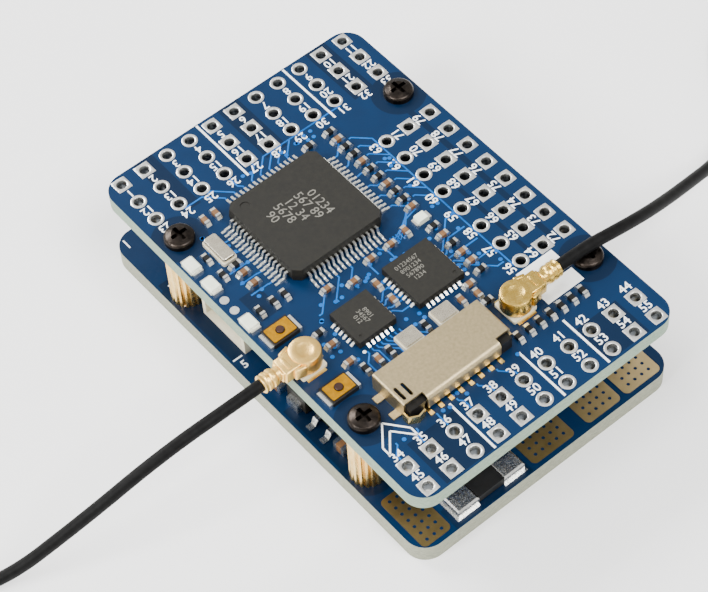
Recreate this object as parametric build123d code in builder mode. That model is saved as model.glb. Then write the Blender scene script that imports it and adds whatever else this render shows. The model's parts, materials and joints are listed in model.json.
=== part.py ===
from build123d import *
import os
from math import radians, tan, pi

os.makedirs("parts", exist_ok=True)

# A two-board flight controller stack: a processor board held on four pillars above a power
# board, with two coaxial antenna leads. Millimetres. The origin is at the centre of the
# underside of the power board, +Z up, +Y towards the front edge, +X towards the servo pads.

# ---------------------------------------------------------------- driving dimensions
BOARD_X = 28.8
BOARD_Y = 43.6
CORNER_R = 2.0
LOWER_T = 2.0
UPPER_T = 1.6
GAP = 6.4
COPPER = 0.05
PITCH = 2.54
MOUNT = 25.0

LOWER_TOP = LOWER_T
UPPER_BASE = LOWER_TOP + GAP
UPPER_TOP = UPPER_BASE + UPPER_T

# ---------------------------------------------------------------- plated through pads
PAD = 1.5
PAD_SOFT_R = 0.35
BARREL_R = 0.55
PAD_HOLE_R = 0.5

COLUMNS = [PITCH * (i - 5) for i in range(11)]
FRONT_ROWS = [20.75, 18.21, 15.67]
REAR_ROWS = [-18.2, -20.74]
SERVO_COLUMNS = [8.06, 10.6, 13.14]
SERVO_ROWS = [PITCH * (i - 3.5) for i in range(8)]

# One letter a pad: o is round, s is square, q is square with soft corners.
FRONT_SHAPES = ["qsooqsooosq", "ooooqsooosq", "ooooqsooosq"]
REAR_SHAPES = ["qsoqsoooosq", "qsoqsoooosq"]
SERVO_SHAPES = ["osq"] * 8


def pad_places(columns, rows, shapes):
    """The pads of one block, sorted by their shape."""
    places = {"o": [], "s": [], "q": []}
    for y, letters in zip(rows, shapes):
        for x, letter in zip(columns, letters):
            places[letter].append((x, y))
    return places


def pad_faces(places):
    """The copper outline of each pad, in the sketch that is open."""
    with Locations(*places["o"]):
        Circle(PAD / 2)
    with Locations(*places["s"]):
        Rectangle(PAD, PAD)
    with Locations(*places["q"]):
        RectangleRounded(PAD, PAD, PAD_SOFT_R)


def every_place(places):
    return places["o"] + places["s"] + places["q"]


front = pad_places(COLUMNS, FRONT_ROWS, FRONT_SHAPES)
rear = pad_places(COLUMNS, REAR_ROWS, REAR_SHAPES)
servo = pad_places(SERVO_COLUMNS, SERVO_ROWS, SERVO_SHAPES)

for name, places in (("front_pads", front), ("rear_pads", rear), ("servo_pads", servo)):
    with BuildPart() as pads:
        with BuildSketch(Plane.XY.offset(UPPER_TOP)):
            pad_faces(places)
        extrude(amount=COPPER)
        with BuildSketch(Plane.XY.offset(UPPER_BASE)):
            pad_faces(places)
        extrude(amount=-COPPER)
        with BuildSketch(Plane.XY.offset(UPPER_BASE)):
            with Locations(*every_place(places)):
                Circle(BARREL_R)
        extrude(amount=UPPER_T)
        with BuildSketch(Plane.XY.offset(UPPER_BASE - COPPER)):
            with Locations(*every_place(places)):
                Circle(PAD_HOLE_R)
        extrude(amount=UPPER_T + 2 * COPPER, mode=Mode.SUBTRACT)
    pads.part.label = name
    export_step(pads.part, f"parts/{name}.step")

# Two bare probe pads for the debug port.
TEST_PADS = [(-13.65, 4.7), (-13.65, 3.3)]
TEST_PAD_R = 0.42

with BuildPart() as test_pads:
    with BuildSketch(Plane.XY.offset(UPPER_TOP)):
        with Locations(*TEST_PADS):
            Circle(TEST_PAD_R)
    extrude(amount=COPPER)
test_pads.part.label = "test_pads"
export_step(test_pads.part, "parts/test_pads.step")

# ---------------------------------------------------------------- boards, pillars, screws
SCREW_HOLE_R = 1.1
SHANK_HOLE_R = 1.42
PILLAR_R = 1.6
PILLAR_SHANK_R = 1.4
FLUTES = 18
FLUTE = 0.26
THREAD_R = 1.0
LOWER_THREAD = 4.2
UPPER_THREAD = 3.7
SCREW_R = 0.96
SCREW_DEEP = 3.5
HEAD_R = 1.4
HEAD_H = 0.85
HEAD_EDGE = 0.35
RECESS_LONG = 1.6
RECESS_WIDE = 0.38
RECESS_DEEP = 0.5

with BuildPart() as upper_board:
    with BuildSketch(Plane.XY.offset(UPPER_BASE)):
        RectangleRounded(BOARD_X, BOARD_Y, CORNER_R)
        with GridLocations(MOUNT, MOUNT, 2, 2):
            Circle(SCREW_HOLE_R, mode=Mode.SUBTRACT)
        with Locations(*every_place(front), *every_place(rear), *every_place(servo)):
            Circle(BARREL_R, mode=Mode.SUBTRACT)
    extrude(amount=UPPER_T)
upper_board.part.label = "upper_board"
export_step(upper_board.part, "parts/upper_board.step")

with BuildPart() as lower_board:
    with BuildSketch(Plane.XY):
        RectangleRounded(BOARD_X, BOARD_Y, CORNER_R)
        with GridLocations(MOUNT, MOUNT, 2, 2):
            Circle(SHANK_HOLE_R, mode=Mode.SUBTRACT)
    extrude(amount=LOWER_T)
lower_board.part.label = "lower_board"
export_step(lower_board.part, "parts/lower_board.step")

# A pillar has straight knurling, a thin shank swaged into the lower board, and a blind
# thread in each end: the upper one takes the top screw and the lower one stays free.
with BuildPart() as pillars:
    with BuildSketch(Plane.XY.offset(LOWER_TOP)):
        with GridLocations(MOUNT, MOUNT, 2, 2):
            Circle(PILLAR_R)
            with PolarLocations(PILLAR_R, FLUTES):
                Rectangle(FLUTE, FLUTE, rotation=45, mode=Mode.SUBTRACT)
    extrude(amount=GAP)
    with BuildSketch(Plane.XY):
        with GridLocations(MOUNT, MOUNT, 2, 2):
            Circle(PILLAR_SHANK_R)
    extrude(amount=LOWER_TOP)
    for mouth, deep in ((0, LOWER_THREAD), (UPPER_BASE, -UPPER_THREAD)):
        with BuildSketch(Plane.XY.offset(mouth)):
            with GridLocations(MOUNT, MOUNT, 2, 2):
                Circle(THREAD_R)
        extrude(amount=deep, mode=Mode.SUBTRACT)
pillars.part.label = "pillars"
export_step(pillars.part, "parts/pillars.step")

with BuildPart() as screw:
    with BuildSketch(Plane.XZ):
        with BuildLine():
            Line((0, -UPPER_T - SCREW_DEEP), (SCREW_R, -UPPER_T - SCREW_DEEP))
            Line((SCREW_R, -UPPER_T - SCREW_DEEP), (SCREW_R, 0))
            Line((SCREW_R, 0), (HEAD_R, 0))
            Line((HEAD_R, 0), (HEAD_R, HEAD_EDGE))
            TangentArc((HEAD_R, HEAD_EDGE), (0.85 * HEAD_R, 0.8 * HEAD_H), tangent=(0, 1))
            Line((0.85 * HEAD_R, 0.8 * HEAD_H), (0.5 * HEAD_R, HEAD_H))
            Line((0.5 * HEAD_R, HEAD_H), (0, HEAD_H))
            Line((0, HEAD_H), (0, -UPPER_T - SCREW_DEEP))
        make_face()
    revolve(axis=Axis.Z)
    with BuildSketch(Plane.XY.offset(HEAD_H)):
        Rectangle(RECESS_LONG, RECESS_WIDE)
        Rectangle(RECESS_WIDE, RECESS_LONG)
    extrude(amount=-RECESS_DEEP, taper=8, mode=Mode.SUBTRACT)

with BuildPart() as pillar_screws:
    with Locations((0, 0, UPPER_TOP)):
        with GridLocations(MOUNT, MOUNT, 2, 2):
            add(screw)
pillar_screws.part.label = "pillar_screws"
export_step(pillar_screws.part, "parts/pillar_screws.step")

# ---------------------------------------------------------------- processor, 64 gull-wing leads
MCU_AT = (-3.0, 6.8)
MCU = 10.0
MCU_CHAMFER = 0.6
MCU_CLEAR = 0.1
MCU_BAND = (0.66, 0.84)
MCU_TOP = 1.5
MCU_DRAFT = 8
MARK_R = 0.45
MARK_DEEP = 0.06
LEAD_PITCH = 0.5
LEAD_WIDE = 0.22
LEAD_COUNT = 16

with BuildPart() as mcu_body:
    with BuildSketch(Plane.XY.offset(UPPER_TOP + MCU_BAND[0])) as band:
        with Locations(MCU_AT):
            Rectangle(MCU, MCU)
        chamfer(band.vertices(), MCU_CHAMFER)
    extrude(amount=MCU_BAND[1] - MCU_BAND[0])
    extrude(faces().sort_by(Axis.Z)[-1], amount=MCU_TOP - MCU_BAND[1], taper=MCU_DRAFT)
    extrude(faces().sort_by(Axis.Z)[0], amount=MCU_BAND[0] - MCU_CLEAR, taper=MCU_DRAFT)
    with BuildSketch(Plane.XY.offset(UPPER_TOP + MCU_TOP)):
        with Locations((MCU_AT[0] - 3.6, MCU_AT[1] + 3.8)):
            Circle(MARK_R)
    extrude(amount=-MARK_DEEP, mode=Mode.SUBTRACT)
mcu_body.part.label = "mcu_body"
export_step(mcu_body.part, "parts/mcu_body.step")

with BuildPart() as gull_lead:
    with BuildSketch(Plane.XZ):
        Polygon(
            (MCU / 2, 0.68), (MCU / 2 + 0.16, 0.68), (MCU / 2 + 0.32, 0.05), (MCU / 2 + 0.3, 0.0),
            (MCU / 2 + 1.4, 0.0), (MCU / 2 + 1.4, 0.05), (MCU / 2 + 1.02, 0.05), (MCU / 2 + 1.0, 0.18),
            (MCU / 2 + 0.5, 0.18), (MCU / 2 + 0.3, 0.82), (MCU / 2, 0.82),
            align=None,
        )
    extrude(amount=LEAD_WIDE / 2, both=True)

with BuildPart() as mcu_leads:
    with Locations((*MCU_AT, UPPER_TOP)):
        with PolarLocations(0, 4):
            with GridLocations(0, LEAD_PITCH, 1, LEAD_COUNT):
                add(gull_lead)
mcu_leads.part.label = "mcu_leads"
export_step(mcu_leads.part, "parts/mcu_leads.step")

# ---------------------------------------------------------------- two leadless radio chips
LAND = 0.05
CHIP_TOP = 0.85


def flat_terminal_outline(half):
    """A solder-filled terminal that starts under a leadless body and ends outside it."""
    return Polygon(
        (half - 0.35, 0), (half + 0.42, 0), (half + 0.42, 0.05), (half + 0.08, 0.24),
        (half, 0.24), (half, LAND), (half - 0.35, LAND),
        align=None,
    )


TRANSCEIVER_AT = (-6.2, -4.85)
TRANSCEIVER = 4.0
RADIO_AT = (0.7, -4.6)
RADIO = 5.0
TERMINAL_WIDE = 0.25

with BuildPart() as transceiver_body:
    with BuildSketch(Plane.XY.offset(UPPER_TOP + LAND)):
        with Locations(TRANSCEIVER_AT):
            Rectangle(TRANSCEIVER, TRANSCEIVER)
    extrude(amount=CHIP_TOP - LAND)
    with BuildSketch(Plane.XY.offset(UPPER_TOP + CHIP_TOP)):
        with Locations((TRANSCEIVER_AT[0] - 1.45, TRANSCEIVER_AT[1] - 1.45)):
            Circle(0.14)
    extrude(amount=-MARK_DEEP, mode=Mode.SUBTRACT)
transceiver_body.part.label = "transceiver_body"
export_step(transceiver_body.part, "parts/transceiver_body.step")

with BuildPart() as transceiver_terminal:
    with BuildSketch(Plane.XZ):
        flat_terminal_outline(TRANSCEIVER / 2)
    extrude(amount=TERMINAL_WIDE / 2, both=True)

with BuildPart() as transceiver_terminals:
    with Locations((*TRANSCEIVER_AT, UPPER_TOP)):
        with PolarLocations(0, 4):
            with GridLocations(0, 0.5, 1, 6):
                add(transceiver_terminal)
transceiver_terminals.part.label = "transceiver_terminals"
export_step(transceiver_terminals.part, "parts/transceiver_terminals.step")

with BuildPart() as radio_body:
    with BuildSketch(Plane.XY.offset(UPPER_TOP + LAND)):
        with Locations(RADIO_AT):
            Rectangle(RADIO, RADIO)
    extrude(amount=CHIP_TOP - LAND)
    with BuildSketch(Plane.XY.offset(UPPER_TOP + CHIP_TOP)):
        with Locations((RADIO_AT[0] + 1.9, RADIO_AT[1] - 1.9)):
            Circle(0.16)
    extrude(amount=-MARK_DEEP, mode=Mode.SUBTRACT)
radio_body.part.label = "radio_body"
export_step(radio_body.part, "parts/radio_body.step")

with BuildPart() as radio_terminal:
    with BuildSketch(Plane.XZ):
        flat_terminal_outline(RADIO / 2)
    extrude(amount=TERMINAL_WIDE / 2, both=True)

with BuildPart() as radio_terminals:
    with Locations((*RADIO_AT, UPPER_TOP)):
        with PolarLocations(0, 4):
            with GridLocations(0, 0.5, 1, 8):
                add(radio_terminal)
radio_terminals.part.label = "radio_terminals"
export_step(radio_terminals.part, "parts/radio_terminals.step")

# ---------------------------------------------------------------- memory card socket
CARD_X = (-9.9, 1.7)
CARD_Y = (-15.3, -10.5)
CARD_H = 1.9
SHEET = 0.2
BEND_R = 0.5
CARD_MID_X = sum(CARD_X) / 2
CARD_MID_Y = sum(CARD_Y) / 2
CARD_WIDE = CARD_X[1] - CARD_X[0]
CARD_LONG = CARD_Y[1] - CARD_Y[0]
BACK_CLEAR = 0.4
NOTCH_DEEP = 0.8
NOTCH_LEFT = 2.0
NOTCH_RIGHT = 1.6
CONTACTS = 8
CONTACT_PITCH = 1.1
CONTACT_WIDE = 0.4
CONTACT_MID_X = CARD_MID_X + 0.05
FLOOR = 0.3

with BuildPart() as card_shell:
    with BuildSketch(Plane.XY.offset(UPPER_TOP)):
        with Locations((CARD_MID_X, CARD_MID_Y)):
            Rectangle(CARD_WIDE, CARD_LONG)
    extrude(amount=CARD_H)
    fillet(edges().filter_by(Axis.X).group_by(Axis.Z)[-1].sort_by(Axis.Y)[0], BEND_R)
    fillet(edges().filter_by(Axis.Y).group_by(Axis.Z)[-1], SHEET)
    with BuildSketch(Plane.XY.offset(UPPER_TOP)):
        with Locations((CARD_MID_X, CARD_MID_Y + SHEET)):
            Rectangle(CARD_WIDE - 2 * SHEET, CARD_LONG)
    extrude(amount=CARD_H - SHEET, mode=Mode.SUBTRACT)
    with BuildSketch(Plane.XY.offset(UPPER_TOP)):
        with Locations((CARD_MID_X, CARD_Y[0])):
            Rectangle(CARD_WIDE - 2 * SHEET, 3 * SHEET)
    extrude(amount=BACK_CLEAR, mode=Mode.SUBTRACT)
    with BuildSketch(Plane.XY.offset(UPPER_TOP)):
        with Locations((CARD_X[0] + NOTCH_LEFT / 2, CARD_Y[0] + NOTCH_DEEP / 2)):
            Rectangle(NOTCH_LEFT, NOTCH_DEEP)
        with Locations((CARD_X[1] - NOTCH_RIGHT / 2, CARD_Y[0] + NOTCH_DEEP / 2)):
            Rectangle(NOTCH_RIGHT, NOTCH_DEEP)
    extrude(amount=CARD_H, mode=Mode.SUBTRACT)
    with BuildSketch(Plane.XY.offset(UPPER_TOP + CARD_H)):
        with Locations((CARD_X[0] + 0.5, CARD_MID_Y - 0.55), (CARD_X[0] + 1.25, CARD_MID_Y - 0.55)):
            SlotOverall(1.5, 0.32, rotation=90)
    extrude(amount=-2 * SHEET, mode=Mode.SUBTRACT)
    with BuildSketch(Plane.XY.offset(UPPER_TOP)):
        with Locations((CARD_X[0], CARD_MID_Y + 1.2), (CARD_X[0], CARD_MID_Y - 0.9)):
            Rectangle(0.8, 0.7, align=(Align.MAX, Align.CENTER))
        with Locations((CARD_X[1], CARD_MID_Y + 1.2), (CARD_X[1], CARD_MID_Y - 0.9)):
            Rectangle(0.6, 0.7, align=(Align.MIN, Align.CENTER))
    extrude(amount=0.15)
card_shell.part.label = "card_shell"
export_step(card_shell.part, "parts/card_shell.step")

with BuildPart() as card_housing:
    with BuildSketch(Plane.XY.offset(UPPER_TOP)):
        with Locations((CARD_MID_X, CARD_MID_Y)):
            Rectangle(CARD_WIDE - 2.2 * SHEET, CARD_LONG - 2.2 * SHEET)
    extrude(amount=FLOOR)
    with BuildSketch(Plane.XY.offset(UPPER_TOP)):
        with Locations((CARD_MID_X, CARD_Y[0] + 1.1 * SHEET)):
            Rectangle(CARD_WIDE - 2.2 * SHEET, 0.75, align=(Align.CENTER, Align.MIN))
    extrude(amount=1.35)
    with BuildSketch(Plane.XY.offset(UPPER_TOP)):
        with Locations((CONTACT_MID_X, CARD_Y[0])):
            with GridLocations(CONTACT_PITCH, 0, CONTACTS, 1):
                Rectangle(CONTACT_WIDE + 0.1, 3.9, align=(Align.CENTER, Align.MIN))
    extrude(amount=1.0, mode=Mode.SUBTRACT)
card_housing.part.label = "card_housing"
export_step(card_housing.part, "parts/card_housing.step")

# A contact spring: its tail is soldered behind the shell, and its arm rises to the card.
with BuildPart() as contact_spring:
    with BuildSketch(Plane.YZ):
        Polygon(
            (-0.55, 0), (1.2, 0), (3.1, 0.8), (3.45, 0.6), (3.55, 0.7),
            (3.15, 0.95), (3.0, 0.92), (1.15, 0.13), (-0.55, 0.13),
            align=None,
        )
    extrude(amount=CONTACT_WIDE / 2, both=True)

with BuildPart() as card_contacts:
    with Locations((CONTACT_MID_X, CARD_Y[0], UPPER_TOP)):
        with GridLocations(CONTACT_PITCH, 0, CONTACTS, 1):
            add(contact_spring)
card_contacts.part.label = "card_contacts"
export_step(card_contacts.part, "parts/card_contacts.step")

# The leaf that senses the card, bent round the open corner of the shell.
with BuildPart() as card_detect_spring:
    with BuildSketch(Plane.XY.offset(UPPER_TOP)):
        with BuildLine():
            Polyline((-10.0, -14.55), (-10.0, -15.2), (-9.2, -15.65), (-8.4, -15.45))
        trace(line_width=0.14)
    extrude(amount=0.95)
card_detect_spring.part.label = "card_detect_spring"
export_step(card_detect_spring.part, "parts/card_detect_spring.step")

# ---------------------------------------------------------------- crystals and lamps
CLOCK_AT = (-10.75, 9.05)
RADIO_CRYSTALS = [(-4.5, -8.85), (-0.65, -8.85)]
CRYSTAL_BASE = 0.38

with BuildPart() as crystal_bases:
    with BuildSketch(Plane.XY.offset(UPPER_TOP)):
        with Locations(CLOCK_AT):
            RectangleRounded(1.5, 3.2, 0.2)
        with Locations(*RADIO_CRYSTALS):
            RectangleRounded(2.1, 1.7, 0.15)
    extrude(amount=CRYSTAL_BASE)
crystal_bases.part.label = "crystal_bases"
export_step(crystal_bases.part, "parts/crystal_bases.step")

with BuildPart() as crystal_lids:
    with BuildSketch(Plane.XY.offset(UPPER_TOP + CRYSTAL_BASE)):
        with Locations(CLOCK_AT):
            RectangleRounded(1.3, 3.0, 0.25)
    extrude(amount=0.45)
    with BuildSketch(Plane.XY.offset(UPPER_TOP + CRYSTAL_BASE)):
        with Locations(*RADIO_CRYSTALS):
            RectangleRounded(1.85, 1.45, 0.15)
    extrude(amount=0.2)
    fillet(edges().group_by(Axis.Z)[-1], 0.1)
crystal_lids.part.label = "crystal_lids"
export_step(crystal_lids.part, "parts/crystal_lids.step")

LED_X = -13.6
LED_ROWS = [9.3, 6.55, 1.3]
LED_LONG = 1.4
LED_WIDE = 1.15
LED_END = 0.3
POWER_LED_AT = (4.55, 0.1)

with BuildPart() as led_bodies:
    with BuildSketch(Plane.XY.offset(UPPER_TOP)):
        with Locations(*[(LED_X, y) for y in LED_ROWS]):
            Rectangle(LED_WIDE, LED_LONG)
        with Locations(POWER_LED_AT):
            Rectangle(1.1, 0.85)
    extrude(amount=0.6)
    chamfer(edges().filter_by(Axis.Y).group_by(Axis.Z)[-1], 0.12)
led_bodies.part.label = "led_bodies"
export_step(led_bodies.part, "parts/led_bodies.step")

with BuildPart() as led_terminals:
    with BuildSketch(Plane.XY.offset(UPPER_TOP)):
        for y in LED_ROWS:
            with Locations((LED_X, y)):
                with GridLocations(0, LED_LONG + LED_END, 1, 2):
                    Rectangle(LED_WIDE - 0.1, LED_END)
        with Locations(POWER_LED_AT):
            with GridLocations(1.4, 0, 2, 1):
                Rectangle(0.3, 0.8)
    extrude(amount=0.28)
led_terminals.part.label = "led_terminals"
export_step(led_terminals.part, "parts/led_terminals.step")

# ---------------------------------------------------------------- chip resistors, capacitors
CHIP_LONG = 1.0
CHIP_WIDE = 0.5
CHIP_CAP = 0.24
CHIP_H = 0.42
SOLDER = 0.24

COLUMN_X = 4.8
COLUMN_KINDS = "RCRRCRRCRRC"
COLUMN_LOW_KINDS = "RCRCCR"
column = [(COLUMN_X, 13.0 - 1.13 * i, kind) for i, kind in enumerate(COLUMN_KINDS)]
column += [(COLUMN_X, -1.2 - 1.24 * i, kind) for i, kind in enumerate(COLUMN_LOW_KINDS)]
rear_row = [(2.45 + 1.21 * i, -14.8) for i in range(7)]

resistors_along_x = [(-10.65, 6.95), (2.4, 12.95), (-9.85, -3.4), (3.0, -10.25)]
resistors_along_x += [(x, y) for x, y, kind in column if kind == "R"]
resistors_along_y = [(-12.15, 9.1), (-12.15, 6.8), (-12.15, 1.7), (-10.65, 1.7), (-9.45, 1.7)]
resistors_along_y += [(-9.2, -8.75), (-6.5, -8.75), (-2.6, -8.75)]
resistors_along_y += rear_row
capacitors_along_x = [(-10.65, 5.85), (-10.65, 4.4), (-6.4, -0.3), (-4.2, -1.2), (0.75, -0.25)]
capacitors_along_x += [(-1.55, -0.3), (-9.75, -5.0), (-9.75, -7.35), (3.0, -7.95)]
capacitors_along_x += [(x, y) for x, y, kind in column if kind == "C"]
capacitors_along_y = [(-9.7, 12.55), (-8.5, 12.55), (2.65, 0.0), (-2.9, -2.75), (-2.9, -4.85)]
capacitors_along_y += [(-7.75, -8.75), (1.4, -8.75), (2.9, -9.15)]

with BuildPart() as chip_middle:
    with BuildSketch(Plane.XY):
        Rectangle(CHIP_LONG - 2 * CHIP_CAP, CHIP_WIDE)
    extrude(amount=CHIP_H)

with BuildPart() as chip_ends:
    with BuildSketch(Plane.XZ):
        Polygon(
            (CHIP_LONG / 2 - CHIP_CAP, 0), (CHIP_LONG / 2 + SOLDER, 0), (CHIP_LONG / 2 + SOLDER, 0.05),
            (CHIP_LONG / 2 + 0.04, 0.3), (CHIP_LONG / 2, CHIP_H), (CHIP_LONG / 2 - CHIP_CAP, CHIP_H),
            align=None,
        )
        mirror(about=Plane.YZ)
    extrude(amount=CHIP_WIDE / 2, both=True)

with BuildPart() as upper_resistors:
    with Locations(*[(x, y, UPPER_TOP) for x, y in resistors_along_x]):
        add(chip_middle)
    with Locations(*[Location((x, y, UPPER_TOP), (0, 0, 90)) for x, y in resistors_along_y]):
        add(chip_middle)
upper_resistors.part.label = "upper_resistors"
export_step(upper_resistors.part, "parts/upper_resistors.step")

with BuildPart() as upper_capacitors:
    with Locations(*[(x, y, UPPER_TOP) for x, y in capacitors_along_x]):
        add(chip_middle)
    with Locations(*[Location((x, y, UPPER_TOP), (0, 0, 90)) for x, y in capacitors_along_y]):
        add(chip_middle)
upper_capacitors.part.label = "upper_capacitors"
export_step(upper_capacitors.part, "parts/upper_capacitors.step")

with BuildPart() as upper_chip_ends:
    with Locations(*[(x, y, UPPER_TOP) for x, y in resistors_along_x + capacitors_along_x]):
        add(chip_ends)
    turned = resistors_along_y + capacitors_along_y
    with Locations(*[Location((x, y, UPPER_TOP), (0, 0, 90)) for x, y in turned]):
        add(chip_ends)
upper_chip_ends.part.label = "upper_chip_ends"
export_step(upper_chip_ends.part, "parts/upper_chip_ends.step")

# ---------------------------------------------------------------- two push buttons
BUTTONS = {"boot_button": (-12.2, -1.15), "bind_button": (-12.2, -8.9)}
BUTTON_X = 2.7
BUTTON_Y = 2.0
BUTTON_H = 0.5
COVER_T = 0.1
WELL_X = 2.1
WELL_Y = 1.5
WELL_FLOOR = 0.12
DOME_R = 0.6
DOME_RISE = 0.18
DOME_T = 0.04
PLUNGER_R = 0.38
PLUNGER_FLANGE_R = 0.55
PLUNGER_GAP = 0.05
BUTTON_TRAVEL = 0.15

dome_base = UPPER_TOP + WELL_FLOOR
flange_base = dome_base + DOME_RISE + DOME_T
flange_top = UPPER_TOP + BUTTON_H - PLUNGER_GAP

for button, (x, y) in BUTTONS.items():
    with BuildPart() as housing:
        with BuildSketch(Plane.XY.offset(UPPER_TOP)):
            with Locations((x, y)):
                Rectangle(BUTTON_X, BUTTON_Y)
        extrude(amount=BUTTON_H)
        with BuildSketch(Plane.XY.offset(dome_base)):
            with Locations((x, y)):
                Rectangle(WELL_X, WELL_Y)
        extrude(amount=BUTTON_H, mode=Mode.SUBTRACT)
    housing.part.label = f"{button}_housing"
    export_step(housing.part, f"parts/{button}_housing.step")

    with BuildPart() as cover:
        with BuildSketch(Plane.XY.offset(UPPER_TOP + BUTTON_H)):
            with Locations((x, y)):
                RectangleRounded(WELL_X + 0.3, WELL_Y + 0.1, 0.12)
                Circle(PLUNGER_R + PLUNGER_GAP, mode=Mode.SUBTRACT)
        extrude(amount=COVER_T)
    cover.part.label = f"{button}_cover"
    export_step(cover.part, f"parts/{button}_cover.step")

    with BuildPart() as plunger:
        with BuildSketch(Plane.XY.offset(flange_base)):
            with Locations((x, y)):
                Circle(PLUNGER_FLANGE_R)
        extrude(amount=flange_top - flange_base)
        with BuildSketch(Plane.XY.offset(flange_top)):
            with Locations((x, y)):
                Circle(PLUNGER_R)
        extrude(amount=PLUNGER_GAP + COVER_T + BUTTON_TRAVEL)
        chamfer(edges().group_by(Axis.Z)[-1], 0.05)
    plunger.part.label = f"{button}_plunger"
    export_step(plunger.part, f"parts/{button}_plunger.step")

    with BuildPart() as dome:
        with BuildSketch(Plane(origin=(x, y, dome_base), x_dir=(1, 0, 0), z_dir=(0, -1, 0))):
            with BuildLine():
                Polyline((DOME_R, 0), (0.75 * DOME_R, 0.65 * DOME_RISE), (0.4 * DOME_R, DOME_RISE))
                Polyline((0.4 * DOME_R, DOME_RISE), (0, DOME_RISE), (0, DOME_RISE - DOME_T))
                Polyline((0, DOME_RISE - DOME_T), (0.36 * DOME_R, DOME_RISE - DOME_T),
                         (0.66 * DOME_R, 0.45 * DOME_RISE), (DOME_R - 0.06, 0), (DOME_R, 0))
            make_face()
        revolve(axis=Axis((x, y, dome_base), (0, 0, 1)))
    dome.part.label = f"{button}_dome"
    export_step(dome.part, f"parts/{button}_dome.step")

with BuildPart() as button_terminals:
    with BuildSketch(Plane.XY.offset(UPPER_TOP)):
        for x, y in BUTTONS.values():
            with Locations((x, y)):
                with GridLocations(BUTTON_X + 0.35, 0, 2, 1):
                    Rectangle(0.35, 1.7)
    extrude(amount=0.3)
button_terminals.part.label = "button_terminals"
export_step(button_terminals.part, "parts/button_terminals.step")

# ---------------------------------------------------------------- antenna sockets and plugs
LEFT_SOCKET = (-12.6, -5.05)
RIGHT_SOCKET = (4.4, -12.3)
SOCKET = 2.6
SOCKET_BASE = 0.35
RING_R = 1.0
RING_BORE_R = 0.8
RING_TOP = 1.25
PIN_R = 0.22
PIN_TOP = 1.0
PLUG_R = 1.45
PLUG_BORE_R = 1.08
PLUG_BOTTOM = 0.5
PLUG_TOP = 2.25
PLUG_LONG = 4.7
NECK = 2.9
BARREL_OUT_R = 0.85
CABLE_D = 1.13
CABLE_Z = 1.55

with BuildPart() as antenna_socket_bases:
    with BuildSketch(Plane.XY.offset(UPPER_TOP + COPPER)):
        with Locations(LEFT_SOCKET, RIGHT_SOCKET):
            RectangleRounded(SOCKET, SOCKET, 0.15)
    extrude(amount=SOCKET_BASE - COPPER)
antenna_socket_bases.part.label = "antenna_socket_bases"
export_step(antenna_socket_bases.part, "parts/antenna_socket_bases.step")

with BuildPart() as antenna_socket_contacts:
    with BuildSketch(Plane.XY.offset(UPPER_TOP + SOCKET_BASE)):
        with Locations(LEFT_SOCKET, RIGHT_SOCKET):
            Circle(RING_R)
            Circle(RING_BORE_R, mode=Mode.SUBTRACT)
    extrude(amount=RING_TOP - SOCKET_BASE)
    with BuildSketch(Plane.XY.offset(UPPER_TOP + SOCKET_BASE)):
        with Locations(LEFT_SOCKET, RIGHT_SOCKET):
            Circle(PIN_R)
    extrude(amount=PIN_TOP - SOCKET_BASE)
    with BuildSketch(Plane.XY.offset(UPPER_TOP)):
        with Locations(LEFT_SOCKET, RIGHT_SOCKET):
            with GridLocations(0, SOCKET - 0.2, 1, 2):
                Rectangle(2.0, 0.8)
            with Locations((SOCKET / 2, 0)):
                Rectangle(0.7, 0.6)
    extrude(amount=COPPER)
antenna_socket_contacts.part.label = "antenna_socket_contacts"
export_step(antenna_socket_contacts.part, "parts/antenna_socket_contacts.step")

# A plug, with its cable end towards +X: a slit cap that clips over the socket's ring, a flat
# neck, and a barrel crimped on the cable.
with BuildPart() as plug:
    with BuildSketch(Plane.XY.offset(PLUG_BOTTOM)):
        Circle(PLUG_R)
    extrude(amount=PLUG_TOP - PLUG_BOTTOM)
    with BuildSketch(Plane.XY.offset(0.75)):
        with BuildLine():
            Polyline((0, -PLUG_R), (1.9, -PLUG_R), (NECK, -0.8), (NECK, 0.8), (1.9, PLUG_R), (0, PLUG_R))
            Line((0, PLUG_R), (0, -PLUG_R))
        make_face()
    extrude(amount=PLUG_TOP - 0.75)
    chamfer(faces().sort_by(Axis.Z)[-1].edges(), 0.15)
    with BuildSketch(Plane.YZ.offset(NECK)):
        with Locations((0, CABLE_Z)):
            Circle(BARREL_OUT_R - 0.15)
    extrude(amount=0.5)
    with BuildSketch(Plane.YZ.offset(NECK + 0.5)):
        with Locations((0, CABLE_Z)):
            Circle(BARREL_OUT_R)
    extrude(amount=PLUG_LONG - NECK - 0.5)
    with BuildSketch(Plane.XY.offset(PLUG_BOTTOM)):
        Circle(PLUG_BORE_R)
    extrude(amount=PLUG_TOP - 0.25 - PLUG_BOTTOM, mode=Mode.SUBTRACT)
    with BuildSketch(Plane.XY.offset(PLUG_BOTTOM)):
        Rectangle(0.25, 4, rotation=0)
    extrude(amount=0.55, mode=Mode.SUBTRACT)

with BuildPart() as plug_core:
    with BuildSketch(Plane.XY.offset(RING_TOP + 0.05)):
        Circle(PLUG_BORE_R)
    extrude(amount=PLUG_TOP - 0.25 - RING_TOP - 0.05)
    with BuildSketch(Plane.XY.offset(PLUG_BOTTOM + 0.1)):
        Circle(0.45)
    extrude(amount=RING_TOP - PLUG_BOTTOM - 0.05)
    with BuildSketch(Plane.XY.offset(PLUG_BOTTOM + 0.1)):
        Circle(0.28)
    extrude(amount=0.6, mode=Mode.SUBTRACT)

LEFT_TURN = Location((*LEFT_SOCKET, UPPER_TOP), (0, 0, 180))
RIGHT_TURN = Location((*RIGHT_SOCKET, UPPER_TOP))

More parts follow.
